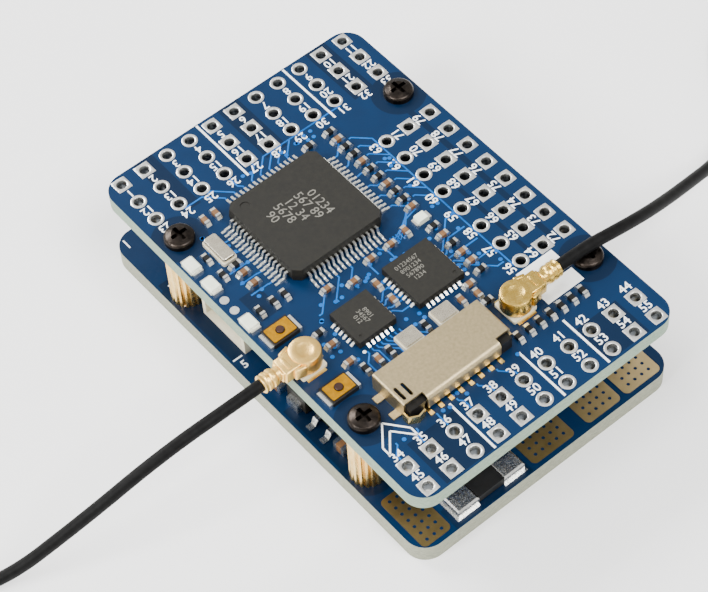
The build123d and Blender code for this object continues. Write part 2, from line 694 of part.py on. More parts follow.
for side, turn in (("left", LEFT_TURN), ("right", RIGHT_TURN)):
    for name, shape in ((f"{side}_plug", plug), (f"{side}_plug_core", plug_core)):
        with BuildPart() as placed:
            with Locations(turn):
                add(shape)
        placed.part.label = name
        export_step(placed.part, f"parts/{name}.step")

# ---------------------------------------------------------------- coaxial leads
# Each lead runs straight out of its plug, slopes down to the surface the stack stands on, is wound
# into a small coil there, and ends in a sleeve antenna beside the coil.
LIE_Z = CABLE_D / 2 + 0.03
CABLE_AXIS_Z = UPPER_TOP + CABLE_Z
COIL_IN_R = 4.9
COIL_OUT_R = 7.5
COIL_H = 2.35
SLEEVE_R = 1.3
SLEEVE_LONG = 19.0

LEFT_COIL = (-56.0, 2.6)
RIGHT_COIL = (49.6, -2.4)

left_route = [
    (LEFT_SOCKET[0] - PLUG_LONG, LEFT_SOCKET[1], CABLE_AXIS_Z),
    (-21.3, LEFT_SOCKET[1], CABLE_AXIS_Z),
    (-25.4, -4.85, 11.25),
    (-29.4, -4.45, 10.2),
    (-33.2, -3.7, 8.2),
    (-37.0, -2.5, 5.6),
    (-40.6, -1.2, 3.0),
    (-43.9, 0.5, 1.2),
    (-46.4, 3.2, LIE_Z),
    (-48.6, 6.6, LIE_Z),
    (LEFT_COIL[0] + 4.1, LEFT_COIL[1] + 6.35, LIE_Z),
]
left_tail = [
    (LEFT_COIL[0] - 7.0, LEFT_COIL[1] - 2.3, 1.6),
    (LEFT_COIL[0] - 7.2, LEFT_COIL[1] - 5.4, 1.3),
    (LEFT_COIL[0] - 7.1, LEFT_COIL[1] - 8.6, SLEEVE_R),
]
right_route = [
    (RIGHT_SOCKET[0] + PLUG_LONG, RIGHT_SOCKET[1], CABLE_AXIS_Z),
    (12.3, RIGHT_SOCKET[1], CABLE_AXIS_Z),
    (15.8, -12.7, 11.4),
    (19.6, -12.3, 10.0),
    (23.6, -11.3, 7.9),
    (27.6, -10.2, 5.9),
    (31.4, -9.0, 3.7),
    (35.0, -7.4, 1.6),
    (38.6, -4.8, LIE_Z),
    (41.6, -0.2, LIE_Z),
    (RIGHT_COIL[0] - 4.4, RIGHT_COIL[1] + 6.2, LIE_Z),
]
right_tail = [
    (RIGHT_COIL[0] + 7.0, RIGHT_COIL[1] - 2.3, 1.6),
    (RIGHT_COIL[0] + 7.2, RIGHT_COIL[1] - 5.4, 1.3),
    (RIGHT_COIL[0] + 7.1, RIGHT_COIL[1] - 8.6, SLEEVE_R),
]


def corner_radii(route):
    """The arc at each inner point: 0.45 of its shorter run over the tangent of half the turn."""
    points = [Vector(*p) for p in route]
    radii = []
    for before, here, after in zip(points, points[1:], points[2:]):
        turn = (here - before).get_angle(after - here)
        shorter = min((here - before).length, (after - here).length)
        radii.append(0.45 * shorter / tan(radians(turn / 2)))
    return radii


def report_tube(name, path, solids):
    length = sum(edge.length for edge in path.edges())
    share = solids / (pi * CABLE_D**2 / 4 * length)
    print(f"{name}: {length:.1f} mm, volume over section x length {share:.4f}")


for side, route in (("left", left_route), ("right", right_route)):
    print(side, "route radii", [round(r, 1) for r in corner_radii(route)])

for side, route, tail in (("left", left_route, left_tail), ("right", right_route, right_tail)):
    with BuildPart() as coax:
        with BuildLine() as run:
            FilletPolyline(*route, radius=corner_radii(route))
        with BuildSketch(Plane(route[0], z_dir=run.line % 0)):
            Circle(CABLE_D / 2)
        sweep()
        report_tube(f"{side} coax", run.line, coax.part.volume)
        with BuildLine() as end:
            FilletPolyline(*tail, radius=corner_radii(tail))
        with BuildSketch(Plane(tail[0], z_dir=end.line % 0)):
            Circle(CABLE_D / 2)
        sweep(path=end.line)
    coax.part.label = f"{side}_coax"
    export_step(coax.part, f"parts/{side}_coax.step")

for side, centre in (("left", LEFT_COIL), ("right", RIGHT_COIL)):
    with BuildPart() as coil:
        with BuildSketch(Plane.XY):
            with Locations(centre):
                Circle(COIL_OUT_R)
                Circle(COIL_IN_R, mode=Mode.SUBTRACT)
        extrude(amount=COIL_H)
        fillet(edges(), 0.5)
    coil.part.label = f"{side}_coax_coil"
    export_step(coil.part, f"parts/{side}_coax_coil.step")

for side, tail in (("left", left_tail), ("right", right_tail)):
    with BuildPart() as antenna:
        with BuildSketch(Plane(tail[-1], z_dir=(0, -1, 0))):
            Circle(SLEEVE_R)
        extrude(amount=SLEEVE_LONG)
        fillet(edges().sort_by(Axis.Y)[0], 0.6)
        chamfer(edges().sort_by(Axis.Y)[-1], 0.4)
    antenna.part.label = f"{side}_antenna"
    export_step(antenna.part, f"parts/{side}_antenna.step")

# ---------------------------------------------------------------- link between the boards
LINK_AT = (3.4, 1.5)
LINK_PITCH = 1.27
LINK_ROWS = 10
LINK_LONG = LINK_ROWS * LINK_PITCH + 0.6
LINK_BASE_H = 2.0
LINK_SOCKET_H = 4.3
SOLDER_GAP = 0.05
LINK_PIN = 0.4
LINK_CORE = 0.5

with BuildPart() as link_header:
    with BuildSketch(Plane.XY.offset(LOWER_TOP + SOLDER_GAP)):
        with Locations(LINK_AT):
            Rectangle(3.0, LINK_LONG)
            with GridLocations(LINK_PITCH, LINK_PITCH, 2, LINK_ROWS):
                Rectangle(LINK_CORE, LINK_CORE, mode=Mode.SUBTRACT)
    extrude(amount=LINK_BASE_H)
link_header.part.label = "link_header"
export_step(link_header.part, "parts/link_header.step")

with BuildPart() as link_socket:
    with BuildSketch(Plane.XY.offset(UPPER_BASE - SOLDER_GAP)):
        with Locations(LINK_AT):
            Rectangle(3.4, LINK_LONG + 0.4)
            with GridLocations(LINK_PITCH, LINK_PITCH, 2, LINK_ROWS):
                Rectangle(LINK_CORE, LINK_CORE, mode=Mode.SUBTRACT)
    extrude(amount=-LINK_SOCKET_H)
link_socket.part.label = "link_socket"
export_step(link_socket.part, "parts/link_socket.step")

with BuildPart() as link_pins:
    with BuildSketch(Plane.XY.offset(LOWER_TOP)):
        with Locations(LINK_AT):
            with GridLocations(LINK_PITCH, LINK_PITCH, 2, LINK_ROWS):
                Rectangle(LINK_PIN, LINK_PIN)
    extrude(amount=GAP)
    for toward in (-1, 1):
        with BuildSketch(Plane.XY.offset(LOWER_TOP)):
            with Locations((LINK_AT[0] + toward * LINK_PITCH / 2, LINK_AT[1])):
                with GridLocations(0, LINK_PITCH, 1, LINK_ROWS):
                    Rectangle(1.8, LINK_PIN, align=(Align.MAX if toward < 0 else Align.MIN, Align.CENTER))
        extrude(amount=SOLDER_GAP)
        with BuildSketch(Plane.XY.offset(UPPER_BASE)):
            with Locations((LINK_AT[0] + toward * LINK_PITCH / 2, LINK_AT[1])):
                with GridLocations(0, LINK_PITCH, 1, LINK_ROWS):
                    Rectangle(1.9, LINK_PIN, align=(Align.MAX if toward < 0 else Align.MIN, Align.CENTER))
        extrude(amount=-SOLDER_GAP)
link_pins.part.label = "link_pins"
export_step(link_pins.part, "parts/link_pins.step")

# ---------------------------------------------------------------- power board
VIA_R = 0.16
VIA_PITCH = 0.8
PAD_REAR_Y = -21.35
# Each pad along the rear edge: its left side, its width and its length.
POWER_PADS = [(-13.8, 3.1, 5.9), (-1.5, 4.8, 3.9), (4.7, 4.0, 3.9), (9.2, 4.2, 3.9)]

with BuildPart() as power_pads:
    with BuildSketch(Plane.XY.offset(LOWER_TOP)):
        for left, wide, long in POWER_PADS:
            middle = (left + wide / 2, PAD_REAR_Y + long / 2)
            columns = int((wide - 0.3) / VIA_PITCH)
            rows = int((long - 0.3) / VIA_PITCH)
            with Locations(middle):
                RectangleRounded(wide, long, 0.5)
                with GridLocations(VIA_PITCH, VIA_PITCH, columns, rows):
                    Circle(VIA_R, mode=Mode.SUBTRACT)
    extrude(amount=COPPER)
power_pads.part.label = "power_pads"
export_step(power_pads.part, "parts/power_pads.step")

SHUNT_AT = (-6.1, -19.5)
SHUNT_LONG = 7.4
SHUNT_WIDE = 3.2
SHUNT_H = 1.0
SHUNT_CAP = 2.3

with BuildPart() as shunt_body:
    with BuildSketch(Plane.XY.offset(LOWER_TOP + 0.15)):
        with Locations(SHUNT_AT):
            Rectangle(SHUNT_LONG - 2 * SHUNT_CAP, SHUNT_WIDE - 0.1)
    extrude(amount=SHUNT_H - 0.15)
shunt_body.part.label = "shunt_body"
export_step(shunt_body.part, "parts/shunt_body.step")

with BuildPart() as shunt_terminals:
    with BuildSketch(Plane.XY.offset(LOWER_TOP)):
        with Locations(SHUNT_AT):
            with GridLocations(SHUNT_LONG - SHUNT_CAP, 0, 2, 1):
                Rectangle(SHUNT_CAP, SHUNT_WIDE)
    extrude(amount=SHUNT_H)
    chamfer(edges().group_by(Axis.Z)[-1], 0.15)
    with BuildSketch(Plane.XY.offset(LOWER_TOP)):
        with Locations(SHUNT_AT):
            with GridLocations(SHUNT_LONG - SHUNT_CAP + 0.2, 0, 2, 1):
                Rectangle(SHUNT_CAP + 0.2, SHUNT_WIDE + 0.4)
    extrude(amount=COPPER)
shunt_terminals.part.label = "shunt_terminals"
export_step(shunt_terminals.part, "parts/shunt_terminals.step")

# Side-entry connector with four contacts, its mouth towards -X.
SIDE_X = (-12.8, -8.55)
SIDE_Y = (3.9, 9.9)
SIDE_H = 2.9
SIDE_POLES = 4
SIDE_MID = ((SIDE_X[0] + SIDE_X[1]) / 2, (SIDE_Y[0] + SIDE_Y[1]) / 2)
SIDE_WALL = 0.45

with BuildPart() as side_connector_housing:
    with BuildSketch(Plane.XY.offset(LOWER_TOP)):
        with Locations(SIDE_MID):
            Rectangle(SIDE_X[1] - SIDE_X[0], SIDE_Y[1] - SIDE_Y[0])
    extrude(amount=SIDE_H)
    with BuildSketch(Plane.YZ.offset(SIDE_X[0])):
        with Locations((SIDE_MID[1], LOWER_TOP + SIDE_H / 2)):
            Rectangle(SIDE_Y[1] - SIDE_Y[0] - 2 * SIDE_WALL, SIDE_H - 2 * SIDE_WALL)
    extrude(amount=2.9, mode=Mode.SUBTRACT)
    with BuildSketch(Plane.YZ.offset(SIDE_X[0])):
        with Locations((SIDE_MID[1], LOWER_TOP + SIDE_H / 2)):
            with GridLocations(1.0, 0, SIDE_POLES, 1):
                Rectangle(0.32, 0.32)
    extrude(amount=SIDE_X[1] - SIDE_X[0], mode=Mode.SUBTRACT)
    chamfer(edges().filter_by(Axis.Y).group_by(Axis.Z)[-1], 0.2)
side_connector_housing.part.label = "side_connector_housing"
export_step(side_connector_housing.part, "parts/side_connector_housing.step")

with BuildPart() as side_connector_contacts:
    with BuildSketch(Plane.YZ.offset(SIDE_X[0] + 0.8)):
        with Locations((SIDE_MID[1], LOWER_TOP + SIDE_H / 2)):
            with GridLocations(1.0, 0, SIDE_POLES, 1):
                Rectangle(0.3, 0.3)
    extrude(amount=SIDE_X[1] - SIDE_X[0] - 0.5)
    with BuildSketch(Plane.XY.offset(LOWER_TOP)):
        with Locations((SIDE_X[1] + 0.15, SIDE_MID[1])):
            with GridLocations(0, 1.0, 1, SIDE_POLES):
                Rectangle(0.3, 0.3)
    extrude(amount=SIDE_H / 2)
    with BuildSketch(Plane.XY.offset(LOWER_TOP)):
        with Locations((SIDE_X[1] + 0.5, SIDE_MID[1])):
            with GridLocations(0, 1.0, 1, SIDE_POLES):
                Rectangle(1.0, 0.5)
    extrude(amount=0.15)
side_connector_contacts.part.label = "side_connector_contacts"
export_step(side_connector_contacts.part, "parts/side_connector_contacts.step")

# Two shielded chokes of the step-down converters.
CHOKES = [(-4.0, 8.6), (9.6, 4.6)]
CHOKE = 5.0
CHOKE_H = 3.0

with BuildPart() as chokes:
    with BuildSketch(Plane.XY.offset(LOWER_TOP + 0.15)):
        with Locations(*CHOKES):
            RectangleRounded(CHOKE, CHOKE, 0.7)
    extrude(amount=CHOKE_H - 0.15)
    chamfer(edges().group_by(Axis.Z)[-1], 0.25)
chokes.part.label = "chokes"
export_step(chokes.part, "parts/chokes.step")

# Ceramic capacitors on the power board, along Y: place and size.
POWER_CAPACITORS = [(-12.5, -9.35, 1.25, 1.4, 1.0), (-12.55, -0.7, 1.3, 1.5, 0.9)]
POWER_CAPACITORS += [(9.4, -4.6 - 2.4 * i, 3.2, 1.7, 1.4) for i in range(3)]
POWER_CAPACITORS += [(-2.0 + 2.6 * i, 15.6, 1.6, 2.4, 1.3) for i in range(4)]
CAP_END = 0.4

with BuildPart() as lower_capacitors:
    for x, y, wide, long, high in POWER_CAPACITORS:
        with BuildSketch(Plane.XY.offset(LOWER_TOP)):
            with Locations((x, y)):
                Rectangle(wide, long - 2 * CAP_END)
        extrude(amount=high)
lower_capacitors.part.label = "lower_capacitors"
export_step(lower_capacitors.part, "parts/lower_capacitors.step")

# Moulded packages on the facing sides of both boards: centre, size, and the board they are on.
DIODE = (-10.7, -3.3, 4.2, 2.5, 2.0)
SWITCH = (-9.9, -6.75, 4.6, 3.4, 1.3)
REGULATORS = [(-4.2, 2.2), (7.6, 10.2)]
REGULATOR = (4.9, 3.9, 1.5)
OSD_AT = (-4.2, -3.4)
OSD = (4.4, 9.7, 1.0)
SENSOR_AT = (-5.0, 8.0)
SENSOR = (3.0, 3.0, 0.9)
PACKAGE_CLEAR = 0.1

with BuildPart() as inner_chips:
    for x, y, wide, long, high in (DIODE, SWITCH):
        with BuildSketch(Plane.XY.offset(LOWER_TOP + PACKAGE_CLEAR)):
            with Locations((x, y)):
                Rectangle(wide, long)
        extrude(amount=high - PACKAGE_CLEAR)
    with BuildSketch(Plane.XY.offset(LOWER_TOP + PACKAGE_CLEAR)):
        with Locations(*REGULATORS):
            Rectangle(REGULATOR[1], REGULATOR[0])
    extrude(amount=REGULATOR[2] - PACKAGE_CLEAR)
    with BuildSketch(Plane.XY.offset(UPPER_BASE - PACKAGE_CLEAR)):
        with Locations(OSD_AT):
            Rectangle(OSD[0], OSD[1])
    extrude(amount=-OSD[2] + PACKAGE_CLEAR)
    with BuildSketch(Plane.XY.offset(UPPER_BASE - COPPER)):
        with Locations(SENSOR_AT):
            Rectangle(SENSOR[0], SENSOR[1])
    extrude(amount=-SENSOR[2] + COPPER)
inner_chips.part.label = "inner_chips"
export_step(inner_chips.part, "parts/inner_chips.step")

# The pressure sensor's vented can, under the upper board.
BAROMETER_AT = (-9.4, 1.0)

with BuildPart() as barometer:
    with BuildSketch(Plane.XY.offset(UPPER_BASE)):
        with Locations(BAROMETER_AT):
            RectangleRounded(2.5, 2.0, 0.2)
    extrude(amount=-0.95)
    with BuildSketch(Plane.XY.offset(UPPER_BASE - 0.95)):
        with Locations((BAROMETER_AT[0] + 0.7, BAROMETER_AT[1] + 0.4)):
            Circle(0.2)
    extrude(amount=0.2, mode=Mode.SUBTRACT)
barometer.part.label = "barometer"
export_step(barometer.part, "parts/barometer.step")

with BuildPart() as inner_terminals:
    # end caps of the ceramic capacitors
    for x, y, wide, long, high in POWER_CAPACITORS:
        with BuildSketch(Plane.XY.offset(LOWER_TOP)):
            with Locations((x, y)):
                with GridLocations(0, long - CAP_END, 1, 2):
                    Rectangle(wide, CAP_END)
        extrude(amount=high)
    # flat ends of the diode
    with BuildSketch(Plane.XY.offset(LOWER_TOP)):
        with Locations(DIODE[:2]):
            with GridLocations(DIODE[2] + 0.5, 0, 2, 1):
                Rectangle(0.5, 1.5)
    extrude(amount=1.1)
    # two bent leads of the power switch
    body_end = SWITCH[0] - SWITCH[2] / 2
    for lead_y in (-5.8, -7.6):
        with BuildSketch(Plane.XZ.offset(-lead_y)):
            Polygon(
                (body_end, LOWER_TOP + 0.75), (body_end - 0.5, LOWER_TOP + 0.75),
                (body_end - 0.8, LOWER_TOP + 0.1), (body_end - 1.4, LOWER_TOP + 0.1),
                (body_end - 1.4, LOWER_TOP), (body_end - 0.7, LOWER_TOP),
                (body_end - 0.4, LOWER_TOP + 0.62), (body_end, LOWER_TOP + 0.62),
                align=None,
            )
        extrude(amount=0.3, both=True)
    # chokes stand on two end plates each
    with BuildSketch(Plane.XY.offset(LOWER_TOP)):
        for place in CHOKES:
            with Locations(place):
                with GridLocations(0, CHOKE - 1.2, 1, 2):
                    Rectangle(2.4, 1.2)
    extrude(amount=0.15)
    # eight leads of each regulator
    with BuildSketch(Plane.XY.offset(LOWER_TOP)):
        for place in REGULATORS:
            with Locations(place):
                with GridLocations(REGULATOR[1] + 1.0, 1.27, 2, 4):
                    Rectangle(1.0, 0.42)
    extrude(amount=0.3)
    # fourteen leads a side of the video chip
    with BuildSketch(Plane.XY.offset(UPPER_BASE)):
        with Locations(OSD_AT):
            with GridLocations(OSD[0] + 0.9, 0.65, 2, 14):
                Rectangle(0.9, 0.25)
    extrude(amount=-0.3)
inner_terminals.part.label = "inner_terminals"
export_step(inner_terminals.part, "parts/inner_terminals.step")

print(len(os.listdir("parts")), "parts written")
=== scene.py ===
# %% [markdown]
# # A two-board flight controller, dressed for a picture
# A maker's kit holds a small blue circuit board screwed onto a second one, with two thin
# black antenna leads. The solid model already gives every piece its size and place, so this
# lesson only adds what solids cannot show: solder mask, silk print, copper tracks, soft
# solder, stamped metal and cable. Every coordinate here is in metres in the model's frame.

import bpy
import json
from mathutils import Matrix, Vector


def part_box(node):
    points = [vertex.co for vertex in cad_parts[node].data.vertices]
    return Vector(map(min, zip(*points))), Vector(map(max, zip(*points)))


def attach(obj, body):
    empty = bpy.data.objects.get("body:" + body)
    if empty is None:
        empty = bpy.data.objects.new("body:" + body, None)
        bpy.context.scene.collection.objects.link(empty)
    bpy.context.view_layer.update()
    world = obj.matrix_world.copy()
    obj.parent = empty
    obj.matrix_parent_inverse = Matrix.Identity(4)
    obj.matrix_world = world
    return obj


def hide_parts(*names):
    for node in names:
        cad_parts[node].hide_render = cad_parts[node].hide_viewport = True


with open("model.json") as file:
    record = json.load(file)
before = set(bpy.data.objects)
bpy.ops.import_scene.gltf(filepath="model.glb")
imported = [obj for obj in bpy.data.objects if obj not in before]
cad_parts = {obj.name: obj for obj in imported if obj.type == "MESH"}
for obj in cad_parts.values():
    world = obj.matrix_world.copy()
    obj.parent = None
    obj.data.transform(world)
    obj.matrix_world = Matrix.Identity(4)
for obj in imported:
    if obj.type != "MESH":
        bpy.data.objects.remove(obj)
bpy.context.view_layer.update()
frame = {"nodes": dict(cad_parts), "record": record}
print("solid pieces:", len(frame["nodes"]))

# %% [markdown]
# The rest of the script speaks in millimetres wherever a person would, and multiplies by MM.
# Heights and edges come from the solid pieces, so nothing has to be fitted by eye.

# %% Units, bodies and heights
import json
import random
from math import atan2, cos, pi, radians, sin

import bmesh
import bpy
from mathutils import Matrix, Vector

MM = 0.001
STACK = "stack"
nodes = frame["nodes"]
board_low, board_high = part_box("upper_board")
UPPER_TOP = board_high.z
UPPER_BASE = board_low.z
LOWER_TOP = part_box("lower_board")[1].z
print("upper board top at", round(UPPER_TOP / MM, 2), "mm")

# %% [markdown]
# ## Camera
# A product picture of a small board is taken with a long lens from well above, so that the
# board's edges stay nearly parallel. The camera looks at a point near the card socket and is
# rolled a little, which sets the board on the diagonal of the picture.

# %% Camera
CAMERA_AT = Vector((-76.96, -99.77, 176.76)) * MM
LOOKS_AT = Vector((-5.06, -2.27, 10.0)) * MM
CAMERA_ROLL = radians(-4.2)
LENS = 123.05
SENSOR = 36.0

camera_data = bpy.data.cameras.new("product_camera")
camera_data.lens = LENS
camera_data.sensor_width = SENSOR
camera = bpy.data.objects.new("product_camera", camera_data)
bpy.context.scene.collection.objects.link(camera)
sight = (LOOKS_AT - CAMERA_AT).to_track_quat("-Z", "Y").to_matrix().to_4x4()
camera.matrix_world = Matrix.Translation(CAMERA_AT) @ sight @ Matrix.Rotation(CAMERA_ROLL, 4, "Z")
bpy.context.scene.camera = camera
print("camera distance", round((LOOKS_AT - CAMERA_AT).length, 4), "m")

# %% [markdown]
# ## Helpers for meshes
# A new piece is modelled with bmesh operators, then turned into an object that sits at the
# origin with its place in its mesh. One helper does the linking, rides the piece on the body
# that carries it, and names the finish it takes.

# %% Turning a bmesh into a piece
SHARP_FROM = radians(35)


def link_piece(name, mesh, material):
    """An object at the origin that rides on the stack and takes the given material."""
    piece = bpy.data.objects.new(name, mesh)
    bpy.context.scene.collection.objects.link(piece)
    mesh.materials.append(material)
    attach(piece, STACK)
    return piece


def edges_of(verts):
    """The edges at some points, each once and always in the same order."""
    return list(dict.fromkeys(edge for vert in verts for edge in vert.link_edges))


def to_metres(bm):
    """Shrinks a mesh that was drawn in millimetres."""
    bmesh.ops.scale(bm, vec=(MM, MM, MM), verts=bm.verts)


def piece_from(bm, name, material, smooth=True):
    """The object that a finished bmesh makes."""
    bmesh.ops.recalc_face_normals(bm, faces=bm.faces)
    for face in bm.faces:
        face.smooth = smooth
    mesh = bpy.data.meshes.new(name)
    bm.to_mesh(mesh)
    bm.free()
    if smooth:
        mesh.set_sharp_from_angle(angle=SHARP_FROM)
    print(name, len(mesh.polygons), "faces")
    return link_piece(name, mesh, material)


def block(bm, centre, size, turn=0.0, bevel=0.0, segments=2):
    """A box with softened edges, standing on its centre point."""
    made = bmesh.ops.create_cube(bm, size=1.0)["verts"]
    bmesh.ops.scale(bm, vec=size, verts=made)
    bmesh.ops.translate(bm, vec=(0, 0, size[2] / 2), verts=made)
    if bevel:
        edges = edges_of(made)
        soft = bmesh.ops.bevel(
            bm, geom=edges, offset=bevel, segments=segments, profile=0.5, affect="EDGES", material=-1
        )
        rounded = [vert for face in soft["faces"] for vert in face.verts]
        made = list(dict.fromkeys(rounded + [vert for vert in made if vert.is_valid]))
    place = Matrix.Translation(centre) @ Matrix.Rotation(turn, 4, "Z")
    bmesh.ops.transform(bm, matrix=place, verts=made)


def disc(bm, centre, radius, thick, segments=12):
    """A short closed cylinder that stands on its centre point."""
    made = bmesh.ops.create_cone(
        bm, cap_ends=True, segments=segments, radius1=radius, radius2=radius, depth=thick
    )["verts"]
    bmesh.ops.translate(bm, vec=(centre[0], centre[1], centre[2] + thick / 2), verts=made)


# %% [markdown]
# ## Helpers for materials
# A shader is a sum done at every point of a surface. The class Value wraps a node's output,
# so that the sum can be written as a Python expression, and each operator adds a Math node.
# Finish adds every other kind of node with one method.

# %% Shader expressions
class Value:
    """One number that varies over a surface."""

    def __init__(self, finish, socket):
        self.finish = finish
        self.socket = socket

    def __add__(self, other):
        return self.finish.math("ADD", self, other)

    def __sub__(self, other):
        return self.finish.math("SUBTRACT", self, other)

    def __rsub__(self, other):
        return self.finish.math("SUBTRACT", other, self)

    def __mul__(self, other):
        return self.finish.math("MULTIPLY", self, other)

    def __gt__(self, other):
        return self.finish.math("GREATER_THAN", self, other)

    def __lt__(self, other):
        return self.finish.math("LESS_THAN", self, other)

    def __abs__(self):
        return self.finish.math("ABSOLUTE", self)

    __radd__ = __add__
    __rmul__ = __mul__

    def or_more(self, other):
        return self.finish.math("MAXIMUM", self, other)


class Finish:
    """A material whose nodes are added one by one; mm is the place in millimetres."""

    def __init__(self, name):
        self.material = bpy.data.materials.new(name)
        self.material.use_nodes = True
        self.tree = self.material.node_tree
        self.tree.nodes.clear()
        self.coordinates = self.node("TexCoord")
        place = {0: self.coordinates.outputs["Object"], "Scale": 1 / MM}
        self.mm = self.node("VectorMath", {"operation": "SCALE"}, place).outputs[0]

    def node(self, kind, settings=None, sockets=None):
        made = self.tree.nodes.new("ShaderNode" + kind)
        for key, value in (settings or {}).items():
            setattr(made, key, value)
        for key, value in (sockets or {}).items():
            self.feed(made.inputs[key], value)
        return made

    def feed(self, socket, value):
        if isinstance(value, Value):
            value = value.socket
        if isinstance(value, bpy.types.NodeSocket):
            self.tree.links.new(value, socket)
        elif socket.type == "RGBA" and len(value) == 3:
            socket.default_value = (*value, 1.0)
        else:
            socket.default_value = value

    def math(self, operation, *terms):
        sockets = dict(enumerate(terms))
        return Value(self, self.node("Math", {"operation": operation}, sockets).outputs[0])

    def mix(self, factor, first, second):
        """A colour between two others."""
        sockets = {0: factor, 6: first, 7: second}
        return self.node("Mix", {"data_type": "RGBA"}, sockets).outputs[2]

    def noise(self, per_mm, detail=3.0, stretch=(1, 1, 1)):
        """Cloudy numbers round a half, with per_mm cells in each millimetre."""
        place = self.mm
        if stretch != (1, 1, 1):
            place = self.node("Mapping", None, {"Vector": place, "Scale": stretch}).outputs[0]
        sockets = {"Vector": place, "Scale": per_mm, "Detail": detail}
        return Value(self, self.node("TexNoise", None, sockets).outputs[0])

    def axes(self, vector=None):
        split = self.node("SeparateXYZ", None, {0: vector or self.mm})
        return [Value(self, socket) for socket in split.outputs]

    def ramp(self, value, low, high):
        """0 below low, 1 above high and straight between."""
        sockets = {"Value": value, "From Min": low, "From Max": high}
        return Value(self, self.node("MapRange", None, sockets).outputs[0])

    def bump(self, height, depth_mm, strength=1.0):
        sockets = {"Height": height, "Distance": depth_mm * MM, "Strength": strength}
        return self.node("Bump", None, sockets).outputs[0]

    def done(self, **sockets):
        """The surface shader, with every socket that is not given at its default."""
        named = {key.replace("_", " "): value for key, value in sockets.items()}
        shader = self.node("BsdfPrincipled", None, named)
        self.node("OutputMaterial", None, {0: shader.outputs[0]})
        return self.material


# %% [markdown]
# ## Antenna leads
# Each lead is a fixed length of 1.13 mm coaxial cable. It leaves its plug level, slopes down
# to the table and runs out along it. The rest of its length is wound into a neat flat coil of
# two and a quarter turns, and it ends in a heat-shrunk sleeve, which is the antenna itself.
# The cable is a NURBS curve: its control points are the bends a hand would give it, and the
# coil's points are worked out on a circle that tightens, climbs a layer and widens again.

# %% Matt cable jacket
JACKET_DARK = (0.0012, 0.0012, 0.0012)
JACKET_WORN = (0.004, 0.004, 0.004)


def cable_finish(name):
    finish = Finish(name)
    drawn = finish.noise(1.6, 4.0)
    scuff = finish.noise(9.0, 5.0)
    colour = finish.mix(finish.ramp(drawn, 0.35, 0.7), JACKET_DARK, JACKET_WORN)
    return finish.done(
        Base_Color=colour,
        Roughness=0.5 + 0.16 * scuff,
        Specular_IOR_Level=0.12,
        Normal=finish.bump(scuff, 0.012, 0.5),
    )


cable_black = cable_finish("cable_jacket")

# %% Coil points
CABLE_D = 1.13 * MM
FLOOR_Z = 0.595 * MM
TURN_POINTS = 16
COIL_TURNS = 2.25
COIL_R = 6.75
TIGHTENS = 1.05
WIDENS = 1.1
CLIMB_FROM = 0.95
CLIMB_OVER = 0.2
WIDENS_FROM = 1.15


def coil_points(centre, way):
    """Control points of the coil: way is 1 for anticlockwise and -1 for clockwise."""
    steps = round(TURN_POINTS * COIL_TURNS)
    points = []
    for step in range(steps + 1):
        turned = step / TURN_POINTS
        inward = min(turned, 1.0)
        outward = max(turned - WIDENS_FROM, 0.0)
        radius = (COIL_R - TIGHTENS * inward + WIDENS * outward) * MM
        climb = min(max((turned - CLIMB_FROM) / CLIMB_OVER, 0.0), 1.0)
        angle = pi / 2 + way * 2 * pi * turned
        height = FLOOR_Z + CABLE_D * climb
        points.append((centre[0] + radius * cos(angle), centre[1] + radius * sin(angle), height))
    return points


def in_metres(points):
    return [Vector(point) * MM for point in points]


LEFT_ROUTE = in_metres([
    (-17.3, -5.05, 11.55), (-21.3, -5.05, 11.55), (-25.4, -4.85, 11.25), (-29.4, -4.45, 10.2),
    (-33.2, -3.7, 8.2), (-37.0, -2.5, 5.6), (-40.6, -1.2, 3.0), (-43.9, 0.5, 1.2),
    (-46.4, 3.2, 0.595), (-48.6, 6.6, 0.595), (-51.9, 8.95, 0.595),
])
LEFT_COIL = Vector((-56.0, 2.6, 0.0)) * MM
LEFT_TAIL = in_metres([(-63.0, 0.3, 1.6), (-63.2, -2.8, 1.3), (-63.1, -6.0, 1.3)])
RIGHT_ROUTE = in_metres([
    (9.1, -12.3, 11.55), (12.3, -12.3, 11.55), (15.8, -12.7, 11.4), (19.6, -12.3, 10.0),
    (23.6, -11.3, 7.9), (27.6, -10.2, 5.9), (31.4, -9.0, 3.7), (35.0, -7.4, 1.6),
    (38.6, -4.8, 0.595), (41.6, -0.2, 0.595), (45.2, 3.8, 0.595),
])
RIGHT_COIL = Vector((49.6, -2.4, 0.0)) * MM
RIGHT_TAIL = in_metres([(56.6, -4.7, 1.6), (56.8, -7.8, 1.3), (56.7, -11.0, 1.3)])


# %% Winding a lead
def wind_lead(name, route, coil, tail):
    """A cable on one smooth line through the route, the coil and the tail."""
    curve = bpy.data.curves.new(name, "CURVE")
    curve.dimensions = "3D"
    line = curve.splines.new("NURBS")
    points = [*route, *coil, *tail]
    line.points.add(len(points) - 1)
    for point, place in zip(line.points, points):
        point.co = (*place, 1.0)
    line.order_u = 3
    line.use_endpoint_u = True
    line.resolution_u = 8
    curve.bevel_depth = CABLE_D / 2
    curve.bevel_resolution = 5
    curve.use_fill_caps = True
    curve.materials.append(cable_black)
    lead = bpy.data.objects.new(name, curve)
    bpy.context.scene.collection.objects.link(lead)
    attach(lead, STACK)
    return lead


leads = {
    "left": wind_lead("left_lead", LEFT_ROUTE, coil_points(LEFT_COIL, 1), LEFT_TAIL),
    "right": wind_lead("right_lead", RIGHT_ROUTE, coil_points(RIGHT_COIL, -1), RIGHT_TAIL),
}

# %% [markdown]
# ## Floor and studio light
# A small shiny object needs large pale lamps, because metal shows what it faces. One broad
# lamp hangs behind the board for the long highlights on the solder, one fills the front, and a
# pale room lights the shadows. The floor is a plain pale sheet.

